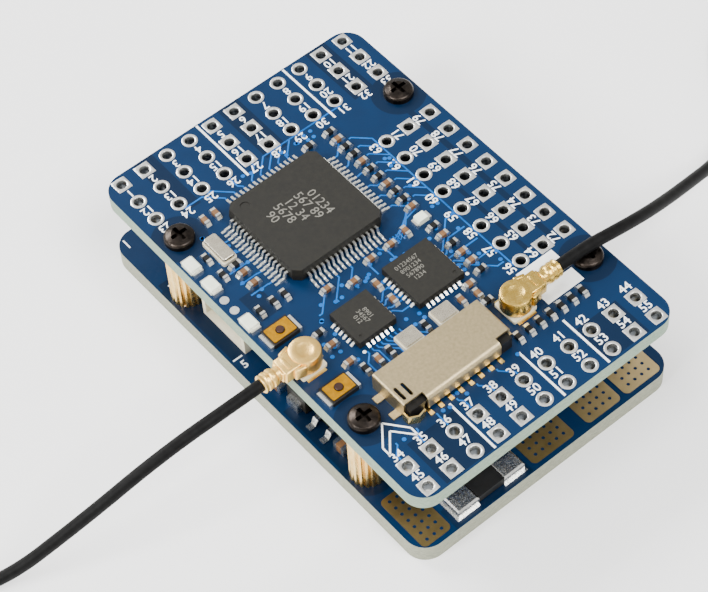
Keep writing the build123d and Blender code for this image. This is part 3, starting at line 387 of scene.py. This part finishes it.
# %% Floor
def floor_finish():
    finish = Finish("studio_floor")
    cloud = finish.noise(0.02, 2.0)
    colour = finish.mix(cloud, (0.97, 0.97, 0.97), (0.99, 0.99, 0.99))
    return finish.done(Base_Color=colour, Roughness=0.85, Specular_IOR_Level=0.2)


FLOOR_SIZE = 4.0
bm = bmesh.new()
bmesh.ops.create_grid(bm, x_segments=1, y_segments=1, size=FLOOR_SIZE / 2)
floor_mesh = bpy.data.meshes.new("studio_floor")
bm.to_mesh(floor_mesh)
bm.free()
floor_mesh.materials.append(floor_finish())
floor = bpy.data.objects.new("studio_floor", floor_mesh)
bpy.context.scene.collection.objects.link(floor)


# %% Lamps
LAMP_WATTS = 7.5


def lamp(name, at, size):
    """A square area lamp that faces the board."""
    data = bpy.data.lights.new(name, "AREA")
    data.size = size
    data.energy = LAMP_WATTS
    lit = bpy.data.objects.new(name, data)
    bpy.context.scene.collection.objects.link(lit)
    aim = (Vector((0, 0, UPPER_TOP)) - Vector(at)).to_track_quat("-Z", "Y")
    lit.matrix_world = Matrix.Translation(at) @ aim.to_matrix().to_4x4()


lamp("back_lamp", (-0.12, 0.60, 0.45), 0.30)
lamp("left_lamp", (-0.60, 0.05, 0.50), 0.30)
lamp("front_lamp", (0.10, -0.45, 0.70), 0.40)

world = bpy.data.worlds.new("studio_room")
bpy.context.scene.world = world
world.use_nodes = True
room = world.node_tree.nodes["Background"]
room.inputs["Color"].default_value = (1.0, 0.99, 0.97, 1.0)
room.inputs["Strength"].default_value = 0.9
print("three lamps and a pale room")

# %% [markdown]
# ## Finishes
# A board is glass cloth in resin under a coloured varnish, the solder mask. Where copper lies
# under the mask it looks bright, and where there is none it looks navy, so the mask's colour is
# a drawing of the copper. Rectangles and rings are inequalities on the place in millimetres.
# The cut edge has no mask and shows the pale laminate, which the surface's direction picks out.

# %% Solder mask
COPPER_BLUE = (0.0, 0.013, 0.045)
BRIGHT_BLUE = tuple(1.35 * part for part in COPPER_BLUE)
BARE_NAVY = (0.0, 0.006, 0.020)
NAVY_SHARE = 0.7


def inside(x, y, box):
    """1 within a rectangle given as its centre and its two sides."""
    centre_x, centre_y, wide, long = box
    return (abs(x - centre_x) < wide / 2) * (abs(y - centre_y) < long / 2)


def mask_finish(name, bare_boxes, bare_rings, edge_light, edge_dark):
    finish = Finish(name)
    x, y, _ = finish.axes()
    upright = abs(finish.axes(finish.coordinates.outputs["Normal"])[2])
    bare = inside(x, y, bare_boxes[0])
    for box in bare_boxes[1:]:
        bare = bare.or_more(inside(x, y, box))
    for centre_x, centre_y, radius in bare_rings:
        across = x - centre_x
        along = y - centre_y
        away = finish.math("SQRT", across * across + along * along)
        bare = bare.or_more(away < radius)
    cloud = finish.noise(0.5, 2.0)
    blue = finish.mix(cloud, COPPER_BLUE, BRIGHT_BLUE)
    varnish = finish.mix(bare * NAVY_SHARE, blue, BARE_NAVY)
    fibre = finish.noise(3.0, 4.0, (1, 1, 6))
    laminate = finish.mix(finish.ramp(fibre, 0.3, 0.7), edge_dark, edge_light)
    skin = finish.noise(5.0, 3.0)
    face = upright > 0.5
    return finish.done(
        Base_Color=finish.mix(face, laminate, varnish),
        Roughness=0.62 - 0.32 * face + 0.08 * skin,
        Specular_IOR_Level=0.22,
        Normal=finish.bump(skin + 0.6 * fibre, 0.012, 0.5),
    )


SCREW_PLACES = [(x, y) for x in (-12.5, 12.5) for y in (-12.5, 12.5)]
UPPER_BARE = [
    (-8.85, -19.1, 5.1, 5.0), (0.0, 18.3, 2.3, 7.6), (10.2, 18.3, 2.3, 7.6), (11.85, 0.4, 0.6, 19.6),
    (9.3, -4.0, 0.45, 9.0), (-11.6, 2.4, 2.1, 3.2), (8.9, -19.4, 4.6, 4.2), (3.6, -11.6, 2.4, 1.6),
    (-9.6, 18.3, 2.0, 7.6),
]
LOWER_BARE = [(-13.0, 9.5, 2.2, 11.0), (-12.6, -7.5, 3.0, 9.0), (-6.2, -20.6, 8.6, 2.2)]
UPPER_RINGS = [(x, y, 2.55) for x, y in SCREW_PLACES]
LOWER_RINGS = [(x, y, 2.4) for x, y in SCREW_PLACES]
GREEN_EDGE = [(0.30, 0.38, 0.29), (0.17, 0.24, 0.18)]
STRAW_EDGE = [(0.34, 0.35, 0.26), (0.20, 0.21, 0.16)]
upper_mask = mask_finish("upper_mask", UPPER_BARE, UPPER_RINGS, *GREEN_EDGE)
lower_mask = mask_finish("lower_mask", LOWER_BARE, LOWER_RINGS, *STRAW_EDGE)
print(len(UPPER_BARE) + len(LOWER_BARE), "bare areas in the two masks")

# %% [markdown]
# Metal is one recipe with different colours: two tones mixed by a cloudy pattern, a roughness
# that wanders, and a fine grain. A chip's moulding, a socket's plastic or a capacitor's
# ceramic is the same recipe without the metal.

# %% Metals and mouldings
def metal(name, light, dark, rough=0.3, grain=3.0, depth=0.01):
    finish = Finish(name)
    cloud = finish.noise(grain * 0.4, 3.0)
    fine = finish.noise(grain * 3.0, 4.0)
    return finish.done(
        Base_Color=finish.mix(finish.ramp(cloud, 0.3, 0.7), dark, light),
        Metallic=1.0,
        Roughness=rough - 0.07 + 0.14 * fine,
        Normal=finish.bump(fine, depth, 0.6),
    )


def moulding(name, light, dark, rough=0.6, grain=4.0, depth=0.012, coat=0.0):
    finish = Finish(name)
    cloud = finish.noise(grain * 0.3, 3.0)
    fine = finish.noise(grain * 2.5, 4.0)
    return finish.done(
        Base_Color=finish.mix(finish.ramp(cloud, 0.3, 0.7), dark, light),
        Roughness=rough - 0.05 + 0.1 * fine,
        Specular_IOR_Level=0.3,
        Coat_Weight=coat,
        Normal=finish.bump(fine, depth, 0.7),
    )


def solder_finish():
    """Bright solder on both faces of a board, with painted shade that turns the walls of the holes
    grey.
    """
    finish = Finish("hot_air_solder_painted_hole_shade")
    height = finish.axes()[2]
    cloud = finish.noise(0.8, 3.0)
    fine = finish.noise(6.0, 4.0)
    tin = finish.mix(finish.ramp(cloud, 0.3, 0.7), (0.78, 0.78, 0.74), (0.95, 0.95, 0.92))
    # The colour fades from the tin at each face to a dark grey in the middle of the wall: painted shade
    # inside the hole.
    middle = (UPPER_TOP + UPPER_BASE) / 2 / MM
    out_of_painted_shade = finish.ramp(abs(height - middle), 0.35, 0.76)
    return finish.done(
        Base_Color=finish.mix(out_of_painted_shade, (0.10, 0.11, 0.12), tin),
        Metallic=1.0,
        Roughness=0.28 + 0.12 * fine,
        Normal=finish.bump(fine, 0.03, 0.6),
    )


finishes = {
    "solder_mask": upper_mask,
    "power_board_mask": lower_mask,
    "pillar_brass": metal("knurled_brass", (1.0, 0.72, 0.29), (0.86, 0.54, 0.17), 0.28),
    "black_screw": metal("black_oxide", (0.045, 0.036, 0.030), (0.014, 0.012, 0.011), 0.32, 5.0, 0.02),
    "tinned_pad": solder_finish(),
    "tinned_lead": metal("tinned_lead", (0.95, 0.95, 0.90), (0.80, 0.80, 0.74), 0.28, 5.0, 0.012),
    "chip_moulding": moulding(
        "chip_moulding", (0.010, 0.009, 0.006), (0.006, 0.0055, 0.004), 0.6, 8.0, 0.02
    ),
    "socket_steel": metal("brushed_shell", (0.58, 0.47, 0.27), (0.47, 0.375, 0.21), 0.40, 9.0, 0.02),
    "black_plastic": moulding("black_plastic", (0.008, 0.0075, 0.007), (0.0045, 0.0045, 0.0045), 0.45),
    "gold_contact": metal("gold_contact", (0.92, 0.70, 0.30), (0.78, 0.55, 0.18), 0.25),
    "ceramic": moulding("crystal_ceramic", (0.62, 0.58, 0.46), (0.48, 0.44, 0.34), 0.5),
    "crystal_can": metal("crystal_can", (0.80, 0.74, 0.60), (0.66, 0.60, 0.48), 0.28, 4.0, 0.01),
    "led_moulding": moulding(
        "led_moulding", (0.86, 0.90, 0.76), (0.70, 0.76, 0.62), 0.35, 3.0, 0.01, 0.4
    ),
    "resistor_body": moulding("resistor_film", (0.008, 0.008, 0.0075), (0.004, 0.004, 0.004), 0.35),
    "capacitor_body": moulding("capacitor_ceramic", (0.20, 0.105, 0.045), (0.115, 0.055, 0.025), 0.45),
    "button_gold": metal("button_gold", (0.78, 0.38, 0.012), (0.58, 0.26, 0.008), 0.34, 5.0, 0.02),
    "plunger_plastic": moulding("plunger_plastic", (0.040, 0.016, 0.010), (0.020, 0.009, 0.006), 0.4),
    "spring_steel": metal("spring_steel", (0.72, 0.71, 0.68), (0.55, 0.54, 0.51), 0.25),
    "ivory_plastic": moulding("ivory_plastic", (0.84, 0.79, 0.62), (0.74, 0.68, 0.50), 0.45, 2.0),
    "pale_gold_plug": metal("pale_gold", (1.0, 0.68, 0.22), (0.88, 0.54, 0.14), 0.34, 4.0, 0.03),
    "deep_gold_plug": metal("deep_gold", (0.85, 0.58, 0.15), (0.60, 0.38, 0.07), 0.26, 4.0, 0.03),
    "coax_jacket": cable_black,
    "sleeve_shrink": moulding(
        "heat_shrink", (0.010, 0.010, 0.0105), (0.005, 0.005, 0.0055), 0.42, 1.5, 0.03
    ),
    "shunt_body": moulding("shunt_body", (0.009, 0.009, 0.009), (0.005, 0.005, 0.005), 0.5),
    "shunt_metal": metal("shunt_metal", (0.80, 0.80, 0.77), (0.58, 0.58, 0.56), 0.26, 1.5, 0.03),
    "choke_body": moulding("choke_body", (0.05, 0.05, 0.048), (0.028, 0.028, 0.027), 0.6, 3.0, 0.03),
}


def power_pad_finish():
    """Gold-washed copper, dull at the left end and lightened towards the right by a painted highlight.
    """
    finish = Finish("power_pad_bronze_painted_highlight")
    x, _, _ = finish.axes()
    cloud = finish.noise(1.2, 4.0)
    fine = finish.noise(9.0, 4.0)
    dull = finish.mix(cloud, (0.20, 0.14, 0.05), (0.34, 0.25, 0.10))
    painted_highlight_copper = finish.mix(cloud, (0.56, 0.42, 0.20), (0.74, 0.58, 0.30))
    return finish.done(
        # The lighter tone towards the right end is a painted highlight on the pads.
        Base_Color=finish.mix(finish.ramp(x, 1.0, 12.0), dull, painted_highlight_copper),
        Metallic=1.0,
        Roughness=0.38 + 0.15 * fine,
        Normal=finish.bump(fine, 0.02, 0.7),
    )


finishes["gold_pad"] = power_pad_finish()

# %% Dressing the solid pieces
for part in frame["record"]["subparts"]:
    solid = nodes[part["node"]]
    for holder in solid.material_slots:
        holder.material = finishes[part["material_slot"]]
print(len(finishes), "finishes on", len(nodes), "solid pieces")

# %% [markdown]
# ## Plated pads
# A header pad is a copper ring that was dipped in molten solder, so its face is softly crowned
# and rolls into the hole. One ring of points stands on the pad's outline. extrude_edge_only
# grows the next ring from it, over the crown, down the barrel and back up inside the copper,
# where remove_doubles closes it. A square pad is the same circle, pushed out to a square.

# %% Pad rings
PAD_POINTS = 24
PAD_HALF = 0.75
HOLE_R = 0.46
SQUARENESS = {"o": 0.0, "s": 1.0, "q": 0.82}
MERGE = 0.001


def spread_ring(verts, centre, radius, height, squareness):
    """Sets a ring of points out: squareness 0 is a circle and 1 is a square."""
    for vert in verts:
        way = (vert.co - centre).xy.normalized()
        stretch = 1 + squareness * (1 / max(abs(way.x), abs(way.y)) - 1)
        vert.co = centre + Vector((*(way * radius * stretch), height))


def soft_pad(bm, x, y, shape):
    """One plated hole with a crowned ring on each face of the board."""
    square = SQUARENESS[shape]
    thick = (UPPER_TOP - UPPER_BASE) / MM
    profile = [
        (PAD_HALF, 0.0, 1.0), (PAD_HALF - 0.02, 0.03, 1.0), (PAD_HALF - 0.10, 0.055, 1.0),
        (HOLE_R + 0.09, 0.05, 0.25), (HOLE_R + 0.03, 0.02, 0.0), (HOLE_R, -0.06, 0.0),
        (HOLE_R, -thick + 0.06, 0.0), (HOLE_R + 0.03, -thick - 0.02, 0.0),
        (PAD_HALF - 0.10, -thick - 0.05, 1.0), (PAD_HALF, -thick, 1.0),
        (HOLE_R + 0.09, -thick, 0.0), (HOLE_R + 0.09, 0.0, 0.0),
    ]
    centre = Vector((x, y, UPPER_TOP / MM))
    place = Matrix.Translation(centre)
    ring = bmesh.ops.create_circle(bm, segments=PAD_POINTS, radius=1.0, matrix=place)["verts"]
    edges = edges_of(ring)
    spread_ring(ring, centre, PAD_HALF, 0.0, square)
    for radius, height, share in profile[1:] + profile[:1]:
        grown = bmesh.ops.extrude_edge_only(bm, edges=edges)["geom"]
        edges = [part for part in grown if isinstance(part, bmesh.types.BMEdge)]
        ring = [part for part in grown if isinstance(part, bmesh.types.BMVert)]
        spread_ring(ring, centre, radius, height, square * share)


def pad_block(name, columns, rows, shapes):
    bm = bmesh.new()
    for y, letters in zip(rows, shapes):
        for x, shape in zip(columns, letters):
            soft_pad(bm, x, y, shape)
    bmesh.ops.remove_doubles(bm, verts=bm.verts, dist=MERGE)
    to_metres(bm)
    piece = piece_from(bm, f"soldered_{name}", finishes["tinned_pad"])
    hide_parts(name)


PITCH = 2.54
COLUMNS = [PITCH * (step - 5) for step in range(11)]
FRONT_ROWS = [20.75, 18.21, 15.67]
REAR_ROWS = [-18.2, -20.74]
SERVO_COLUMNS = [8.06, 10.6, 13.14]
SERVO_ROWS = [PITCH * (step - 3.5) for step in range(8)]
pad_block("front_pads", COLUMNS, FRONT_ROWS, ["qsooqsooosq", "ooooqsooosq", "ooooqsooosq"])
pad_block("rear_pads", COLUMNS, REAR_ROWS, ["qsoqsoooosq", "qsoqsoooosq"])
pad_block("servo_pads", SERVO_COLUMNS, SERVO_ROWS, ["osq"] * 8)

# %% [markdown]
# ## Silk print
# The white print is ink squeezed through a screen, a few hundredths of a millimetre thick. The
# pads are simply numbered here. Text objects give the digits their outlines; each is turned
# into a mesh, set in its place, and joined with the rest, so the print is one piece.

# %% White ink
INK = 0.012
ink_white = moulding("silk_ink", (0.88, 0.89, 0.88), (0.80, 0.82, 0.82), 0.55, 4.0, 0.008)
chip_ink = moulding("laser_mark", (0.175, 0.168, 0.145), (0.120, 0.115, 0.100), 0.6, 6.0, 0.006)


def add_text(bm, label, centre, size, turn, height, weight=0.012):
    """Stamps a number into a bmesh, in millimetres, reading along turn."""
    curve = bpy.data.curves.new("digits", "FONT")
    curve.body = label
    curve.size = size
    curve.align_x = "CENTER"
    curve.align_y = "CENTER"
    curve.extrude = INK / 2
    curve.offset = weight * size
    curve.resolution_u = 2
    holder = bpy.data.objects.new("digits", curve)
    bpy.context.scene.collection.objects.link(holder)
    bpy.context.view_layer.update()
    mesh = bpy.data.meshes.new_from_object(holder)
    mesh.transform(Matrix.Translation((*centre, height + INK / 2)) @ Matrix.Rotation(turn, 4, "Z"))
    bm.from_mesh(mesh)
    bpy.data.objects.remove(holder)
    bpy.data.curves.remove(curve)
    bpy.data.meshes.remove(mesh)


def stroke(bm, start, end, wide, height=UPPER_TOP / MM):
    """A straight printed line."""
    along = Vector((end[0] - start[0], end[1] - start[1]))
    centre = ((start[0] + end[0]) / 2, (start[1] + end[1]) / 2, height)
    block(bm, centre, (along.length, wide, INK), atan2(along.y, along.x))


# %% Numbers beside the pads
LABEL_SIZE = 1.2
LABEL_GAP = PITCH / 2
FIRST_REAR = 34
FIRST_SERVO = 56
silk = bmesh.new()
top_mm = UPPER_TOP / MM
label_rows = [(y, -1, pi, 1 + 11 * row) for row, y in enumerate(FRONT_ROWS)]
label_rows += [(y, 1, 0.0, FIRST_REAR + 11 * row) for row, y in enumerate(REAR_ROWS)]
for y, side, turn, first in label_rows:
    for step, x in enumerate(COLUMNS):
        add_text(silk, str(first + step), (x, y + side * LABEL_GAP), LABEL_SIZE, turn, top_mm)
for column, x in enumerate(SERVO_COLUMNS):
    for row, y in enumerate(SERVO_ROWS):
        place = (x - LABEL_GAP, y)
        number = FIRST_SERVO + len(SERVO_ROWS) * column + row
        add_text(silk, str(number), place, LABEL_SIZE, pi / 2, top_mm)

# %% Dividing lines, arrow and cable patch
DIVIDERS = [((-3.6, 14.1), (-3.6, 21.7)), ((6.4, 14.1), (6.4, 21.7))]
DIVIDERS += [((x, -15.9), (x, -21.6)) for x in (-6.2, 1.5, 6.5)]
for start, end in DIVIDERS:
    stroke(silk, start, end, 0.22)
ARROW = [(-13.1, -15.6), (-11.6, -13.7), (-10.1, -15.6), (-10.1, -16.5), (-11.6, -14.7), (-13.1, -16.5)]
for start, end in zip(ARROW, ARROW[1:] + ARROW[:1]):
    stroke(silk, start, end, 0.16)
block(silk, (8.75, -10.4, top_mm), (4.1, 1.3, INK))
block(silk, (8.75, -13.1, top_mm), (4.1, 1.6, INK))
for x, y in ((-8.1, -7.3), (3.7, -6.9)):
    disc(silk, (x, y, top_mm), 0.17, INK, 16)
LOWER_MM = LOWER_TOP / MM
LOWER_TICKS = [((-14.1, 4.0), (-13.1, 4.0)), ((-13.4, 14.4), (-12.9, 13.8))]
LOWER_TICKS += [((-13.4, 20.1), (-13.4, 21.2))]
for start, end in LOWER_TICKS:
    stroke(silk, start, end, 0.16, LOWER_MM)
for y in (13.2, 11.9, 3.1):
    add_text(silk, "5", (-13.5, y), LABEL_SIZE, 0.0, LOWER_MM)
to_metres(silk)
piece_from(silk, "silk_print", ink_white, smooth=False)

# %% [markdown]
# ## Copper tracks and vias
# Tracks lie under the mask, so they show as faint ridges in a lighter blue. Each is a flat
# ribbon that turns by 45 degrees at a time. A curve with a small bevel draws a ribbon of even
# width, and flattening its mesh leaves the low ridge. Vias are tiny capped rings.

# %% Ribbons under the mask
TRACK = 0.16
RIDGE = 0.022
track_blue = moulding("mask_over_track", (0.004, 0.115, 0.40), (0.0, 0.075, 0.31), 0.3, 3.0, 0.006)
MCU = Vector((-3.0, 6.8))
tracks = []


def fan(starts, ends, lead):
    """Tracks from one row of points to another, straight, slanted, straight."""
    for start, end in zip(starts, ends):
        first = (start[0] + lead[0], start[1] + lead[1])
        bend = min(abs(end[0] - first[0]), abs(end[1] - first[1]))
        step_x = bend * (1 if end[0] > first[0] else -1)
        step_y = bend * (1 if end[1] > first[1] else -1)
        second = (first[0] + step_x, first[1] + step_y)
        tracks.append([start, first, second, end])


def spaced(first, gap, count):
    """Evenly spaced places on a line, in millimetres."""
    return [first + gap * step for step in range(count)]


lead_row = [(step - 7.5) * 0.5 for step in range(16)]
fan([(MCU.x + at, 13.2) for at in lead_row[::2]], [(x, 14.9) for x in COLUMNS[1:9]], (0, 0.25))
fan([(3.4, MCU.y + at) for at in lead_row[::3]], [(4.6, y) for y in spaced(1.6, 2.0, 6)], (0.3, 0))
fan([(5.7, y) for y in spaced(2.6, 1.25, 8)], [(7.3, y) for y in SERVO_ROWS], (0.25, 0))
fan([(-9.4, MCU.y + at) for at in lead_row[1::3]], [(-11.6, y) for y in spaced(3.6, 1.5, 5)], (-0.3, 0))
fan([(MCU.x + at, 0.4) for at in lead_row[1::3]], [(x, -1.9) for x in spaced(-8.6, 2.2, 5)], (0, -0.3))
fan([(x, -7.4) for x in spaced(-7.9, 0.5, 8)], [(x, -10.2) for x in spaced(-8.6, 1.5, 8)], (0, -0.3))
fan([(x, -15.9) for x in spaced(-12.0, 2.2, 6)], [(x, -17.4) for x in COLUMNS[:6]], (0, -0.25))
fan([(3.4, y) for y in spaced(-5.6, 0.5, 5)], [(6.9, y) for y in spaced(-8.0, 1.7, 5)], (0.4, 0))
fan([(-3.9, y) for y in spaced(-5.6, 0.45, 4)], [(-2.0, y) for y in spaced(-6.2, 0.9, 4)], (0.3, 0))
for step in range(4):
    out = 0.32 * step
    bend = [(1.2 + out, 0.4), (1.2 + out, -0.1 - out * 0.4), (3.6 + out, 1.1 + out)]
    tracks.append([*bend, (5.0, 1.4 + out)])

curve = bpy.data.curves.new("tracks", "CURVE")
curve.dimensions = "3D"
curve.bevel_depth = TRACK / 2
curve.bevel_resolution = 0
for points in tracks:
    line = curve.splines.new("POLY")
    line.points.add(len(points) - 1)
    for point, place in zip(line.points, points):
        point.co = (*place, 0.0, 1.0)
holder = bpy.data.objects.new("tracks", curve)
bpy.context.scene.collection.objects.link(holder)
bpy.context.view_layer.update()
bm = bmesh.new()
bm.from_mesh(bpy.data.meshes.new_from_object(holder))
bpy.data.objects.remove(holder)
bmesh.ops.scale(bm, vec=(1, 1, RIDGE / TRACK), verts=bm.verts)
bmesh.ops.translate(bm, vec=(0, 0, top_mm), verts=bm.verts)
bmesh.ops.holes_fill(bm, edges=[edge for edge in bm.edges if edge.is_boundary])

# %% Vias
VIA_R = 0.2
VIA_RIDGE = RIDGE * 0.8
random.seed(4)
via_areas = [
    (-8.5, 2.4, -1.9, 0.0, 16), (-10.8, -8.6, -7.8, -1.6, 10), (3.6, 7.2, -8.6, 1.0, 16),
    (-12.0, 5.0, -16.2, -15.5, 8), (4.8, 7.0, 2.0, 13.0, 14), (-11.4, -9.6, 2.6, 12.5, 10),
    (-7.0, 4.0, 13.6, 14.4, 10), (-3.4, -1.9, -8.0, -2.4, 9),
]
for low_x, high_x, low_y, high_y, count in via_areas:
    for _ in range(count):
        place = (random.uniform(low_x, high_x), random.uniform(low_y, high_y), top_mm)
        disc(bm, place, VIA_R, VIA_RIDGE)
to_metres(bm)
piece_from(bm, "copper_tracks", track_blue, smooth=False)
print(len(tracks), "tracks and", sum(area[-1] for area in via_areas), "vias")

# %% [markdown]
# ## Marks on the chips
# A laser bleaches the moulding a little, so chip marks are only slightly lighter than the chip.
# These are plain rows of figures.

# %% Laser marks
MARK_SIZE = 1.25
SMALL_MARK = 0.62
marks = bmesh.new()
mcu_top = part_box("mcu_body")[1].z / MM
for step, row in enumerate(("01234", "567 89", "12 34", "5678", "90")):
    place = (MCU.x + 1.6 - 1.05 * step, MCU.y + 0.35 * step - 0.2)
    add_text(marks, row, place, MARK_SIZE, pi / 2 + pi, mcu_top, 0.0)
small_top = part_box("transceiver_body")[1].z / MM
for step, row in enumerate(("012", "34567", "8901")):
    add_text(marks, row, (-6.75 + 0.55 * step, -4.85), SMALL_MARK, -pi / 2, small_top, 0.0)
radio_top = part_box("radio_body")[1].z / MM
for step, row in enumerate(("01234567", "8901234", "567890", "1234")):
    add_text(marks, row, (0.2, -3.0 - 0.6 * step), SMALL_MARK, 0.0, radio_top, 0.0)
to_metres(marks)
piece_from(marks, "laser_marks", chip_ink, smooth=False)

# %% [markdown]
# ## Stamped plugs
# A coaxial plug is a drawn cap, a flat neck with two folded shoulders, and a barrel crimped on
# the cable. The solid model has its plain shape; here each edge is rolled, the cap gets a
# pressed rim and a dimple, the neck gets its strap, and the barrel shows two crimp ribs.

# %% Plug shells
PLUG_R = 1.45
CAP_LOW = 0.5
CAP_HIGH = 2.25
CABLE_Z = 1.55
LATHE_STEPS = 40


def lathe(bm, chain, cent, axis):
    """Spins a chain of points once round an axis."""
    points = [bm.verts.new(place) for place in chain]
    edges = [bm.edges.new(pair) for pair in zip(points, points[1:])]
    bmesh.ops.spin(
        bm, geom=points + edges, cent=cent, axis=axis, angle=2 * pi, steps=LATHE_STEPS, use_merge=True
    )


# The cap's profile is (radius, height), and the barrel's is (place along the cable, radius).
CAP_PROFILE = [
    (0.0, CAP_HIGH - 0.10), (0.55, CAP_HIGH - 0.10), (0.72, CAP_HIGH - 0.02), (0.80, CAP_HIGH),
    (1.22, CAP_HIGH), (1.38, CAP_HIGH - 0.06), (PLUG_R, CAP_HIGH - 0.22), (PLUG_R, CAP_LOW + 0.12),
    (1.40, CAP_LOW + 0.03), (1.30, CAP_LOW), (1.12, CAP_LOW + 0.04), (1.08, CAP_LOW + 0.2),
    (1.08, CAP_HIGH - 0.25), (0.0, CAP_HIGH - 0.25),
]
BARREL_PROFILE = [
    (2.75, 0.0), (2.75, 0.60), (2.82, 0.66), (3.22, 0.66), (3.34, 0.80), (3.48, 0.85), (3.70, 0.85),
    (3.80, 0.77), (3.90, 0.77), (4.00, 0.85), (4.24, 0.85), (4.34, 0.77), (4.42, 0.77), (4.52, 0.84),
    (4.62, 0.84), (4.70, 0.76), (4.70, 0.0),
]
# Each folded part of the neck has its foot, its size, its turn, its bevel and its bevel's steps.
NECK_PARTS = {
    "neck": ((1.72, 0, 0.8), (2.0, 1.9, CAP_HIGH - 0.92), 0, 0.14, 3),
    "throat": ((2.45, 0, 0.95), (0.95, 1.5, CAP_HIGH - 1.15), 0, 0.12, 3),
    "one shoulder": ((1.35, -1.13, 0.78), (1.1, 0.36, CAP_HIGH - 0.98), radians(14), 0.1, 3),
    "other shoulder": ((1.35, 1.13, 0.78), (1.1, 0.36, CAP_HIGH - 0.98), radians(-14), 0.1, 3),
    "strap": ((2.0, 0, CAP_HIGH - 0.2), (0.42, 1.25, 0.14), 0, 0.06, 2),
}


def plug_shell(side, socket, turn, slot):
    """A plug with its cable end towards +X, then turned and set on its socket."""
    bm = bmesh.new()
    lathe(bm, [(radius, 0, height) for radius, height in CAP_PROFILE], (0, 0, 0), (0, 0, 1))
    barrel = [(along, 0, CABLE_Z - radius) for along, radius in BARREL_PROFILE]
    lathe(bm, barrel, (0, 0, CABLE_Z), (1, 0, 0))
    bmesh.ops.remove_doubles(bm, verts=bm.verts, dist=MERGE / 2)
    for foot, size, lean, bevel, segments in NECK_PARTS.values():
        block(bm, foot, size, lean, bevel, segments)
    place = Matrix.Translation((socket[0], socket[1], UPPER_TOP / MM)) @ Matrix.Rotation(turn, 4, "Z")
    bmesh.ops.transform(bm, matrix=Matrix.Scale(MM, 4) @ place, verts=bm.verts)
    shell = piece_from(bm, f"stamped_{side}_plug", finishes[slot])
    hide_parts(f"{side}_plug")


plug_shell("left", (-12.6, -5.05), pi, "pale_gold_plug")
plug_shell("right", (4.4, -12.3), 0.0, "deep_gold_plug")

# %% [markdown]
# The solid model's cable and coil of each lead are hidden, since the wound leads above take their
# place.

# %% Hiding the solid leads
for side, lead in leads.items():
    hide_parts(f"{side}_coax", f"{side}_coax_coil")
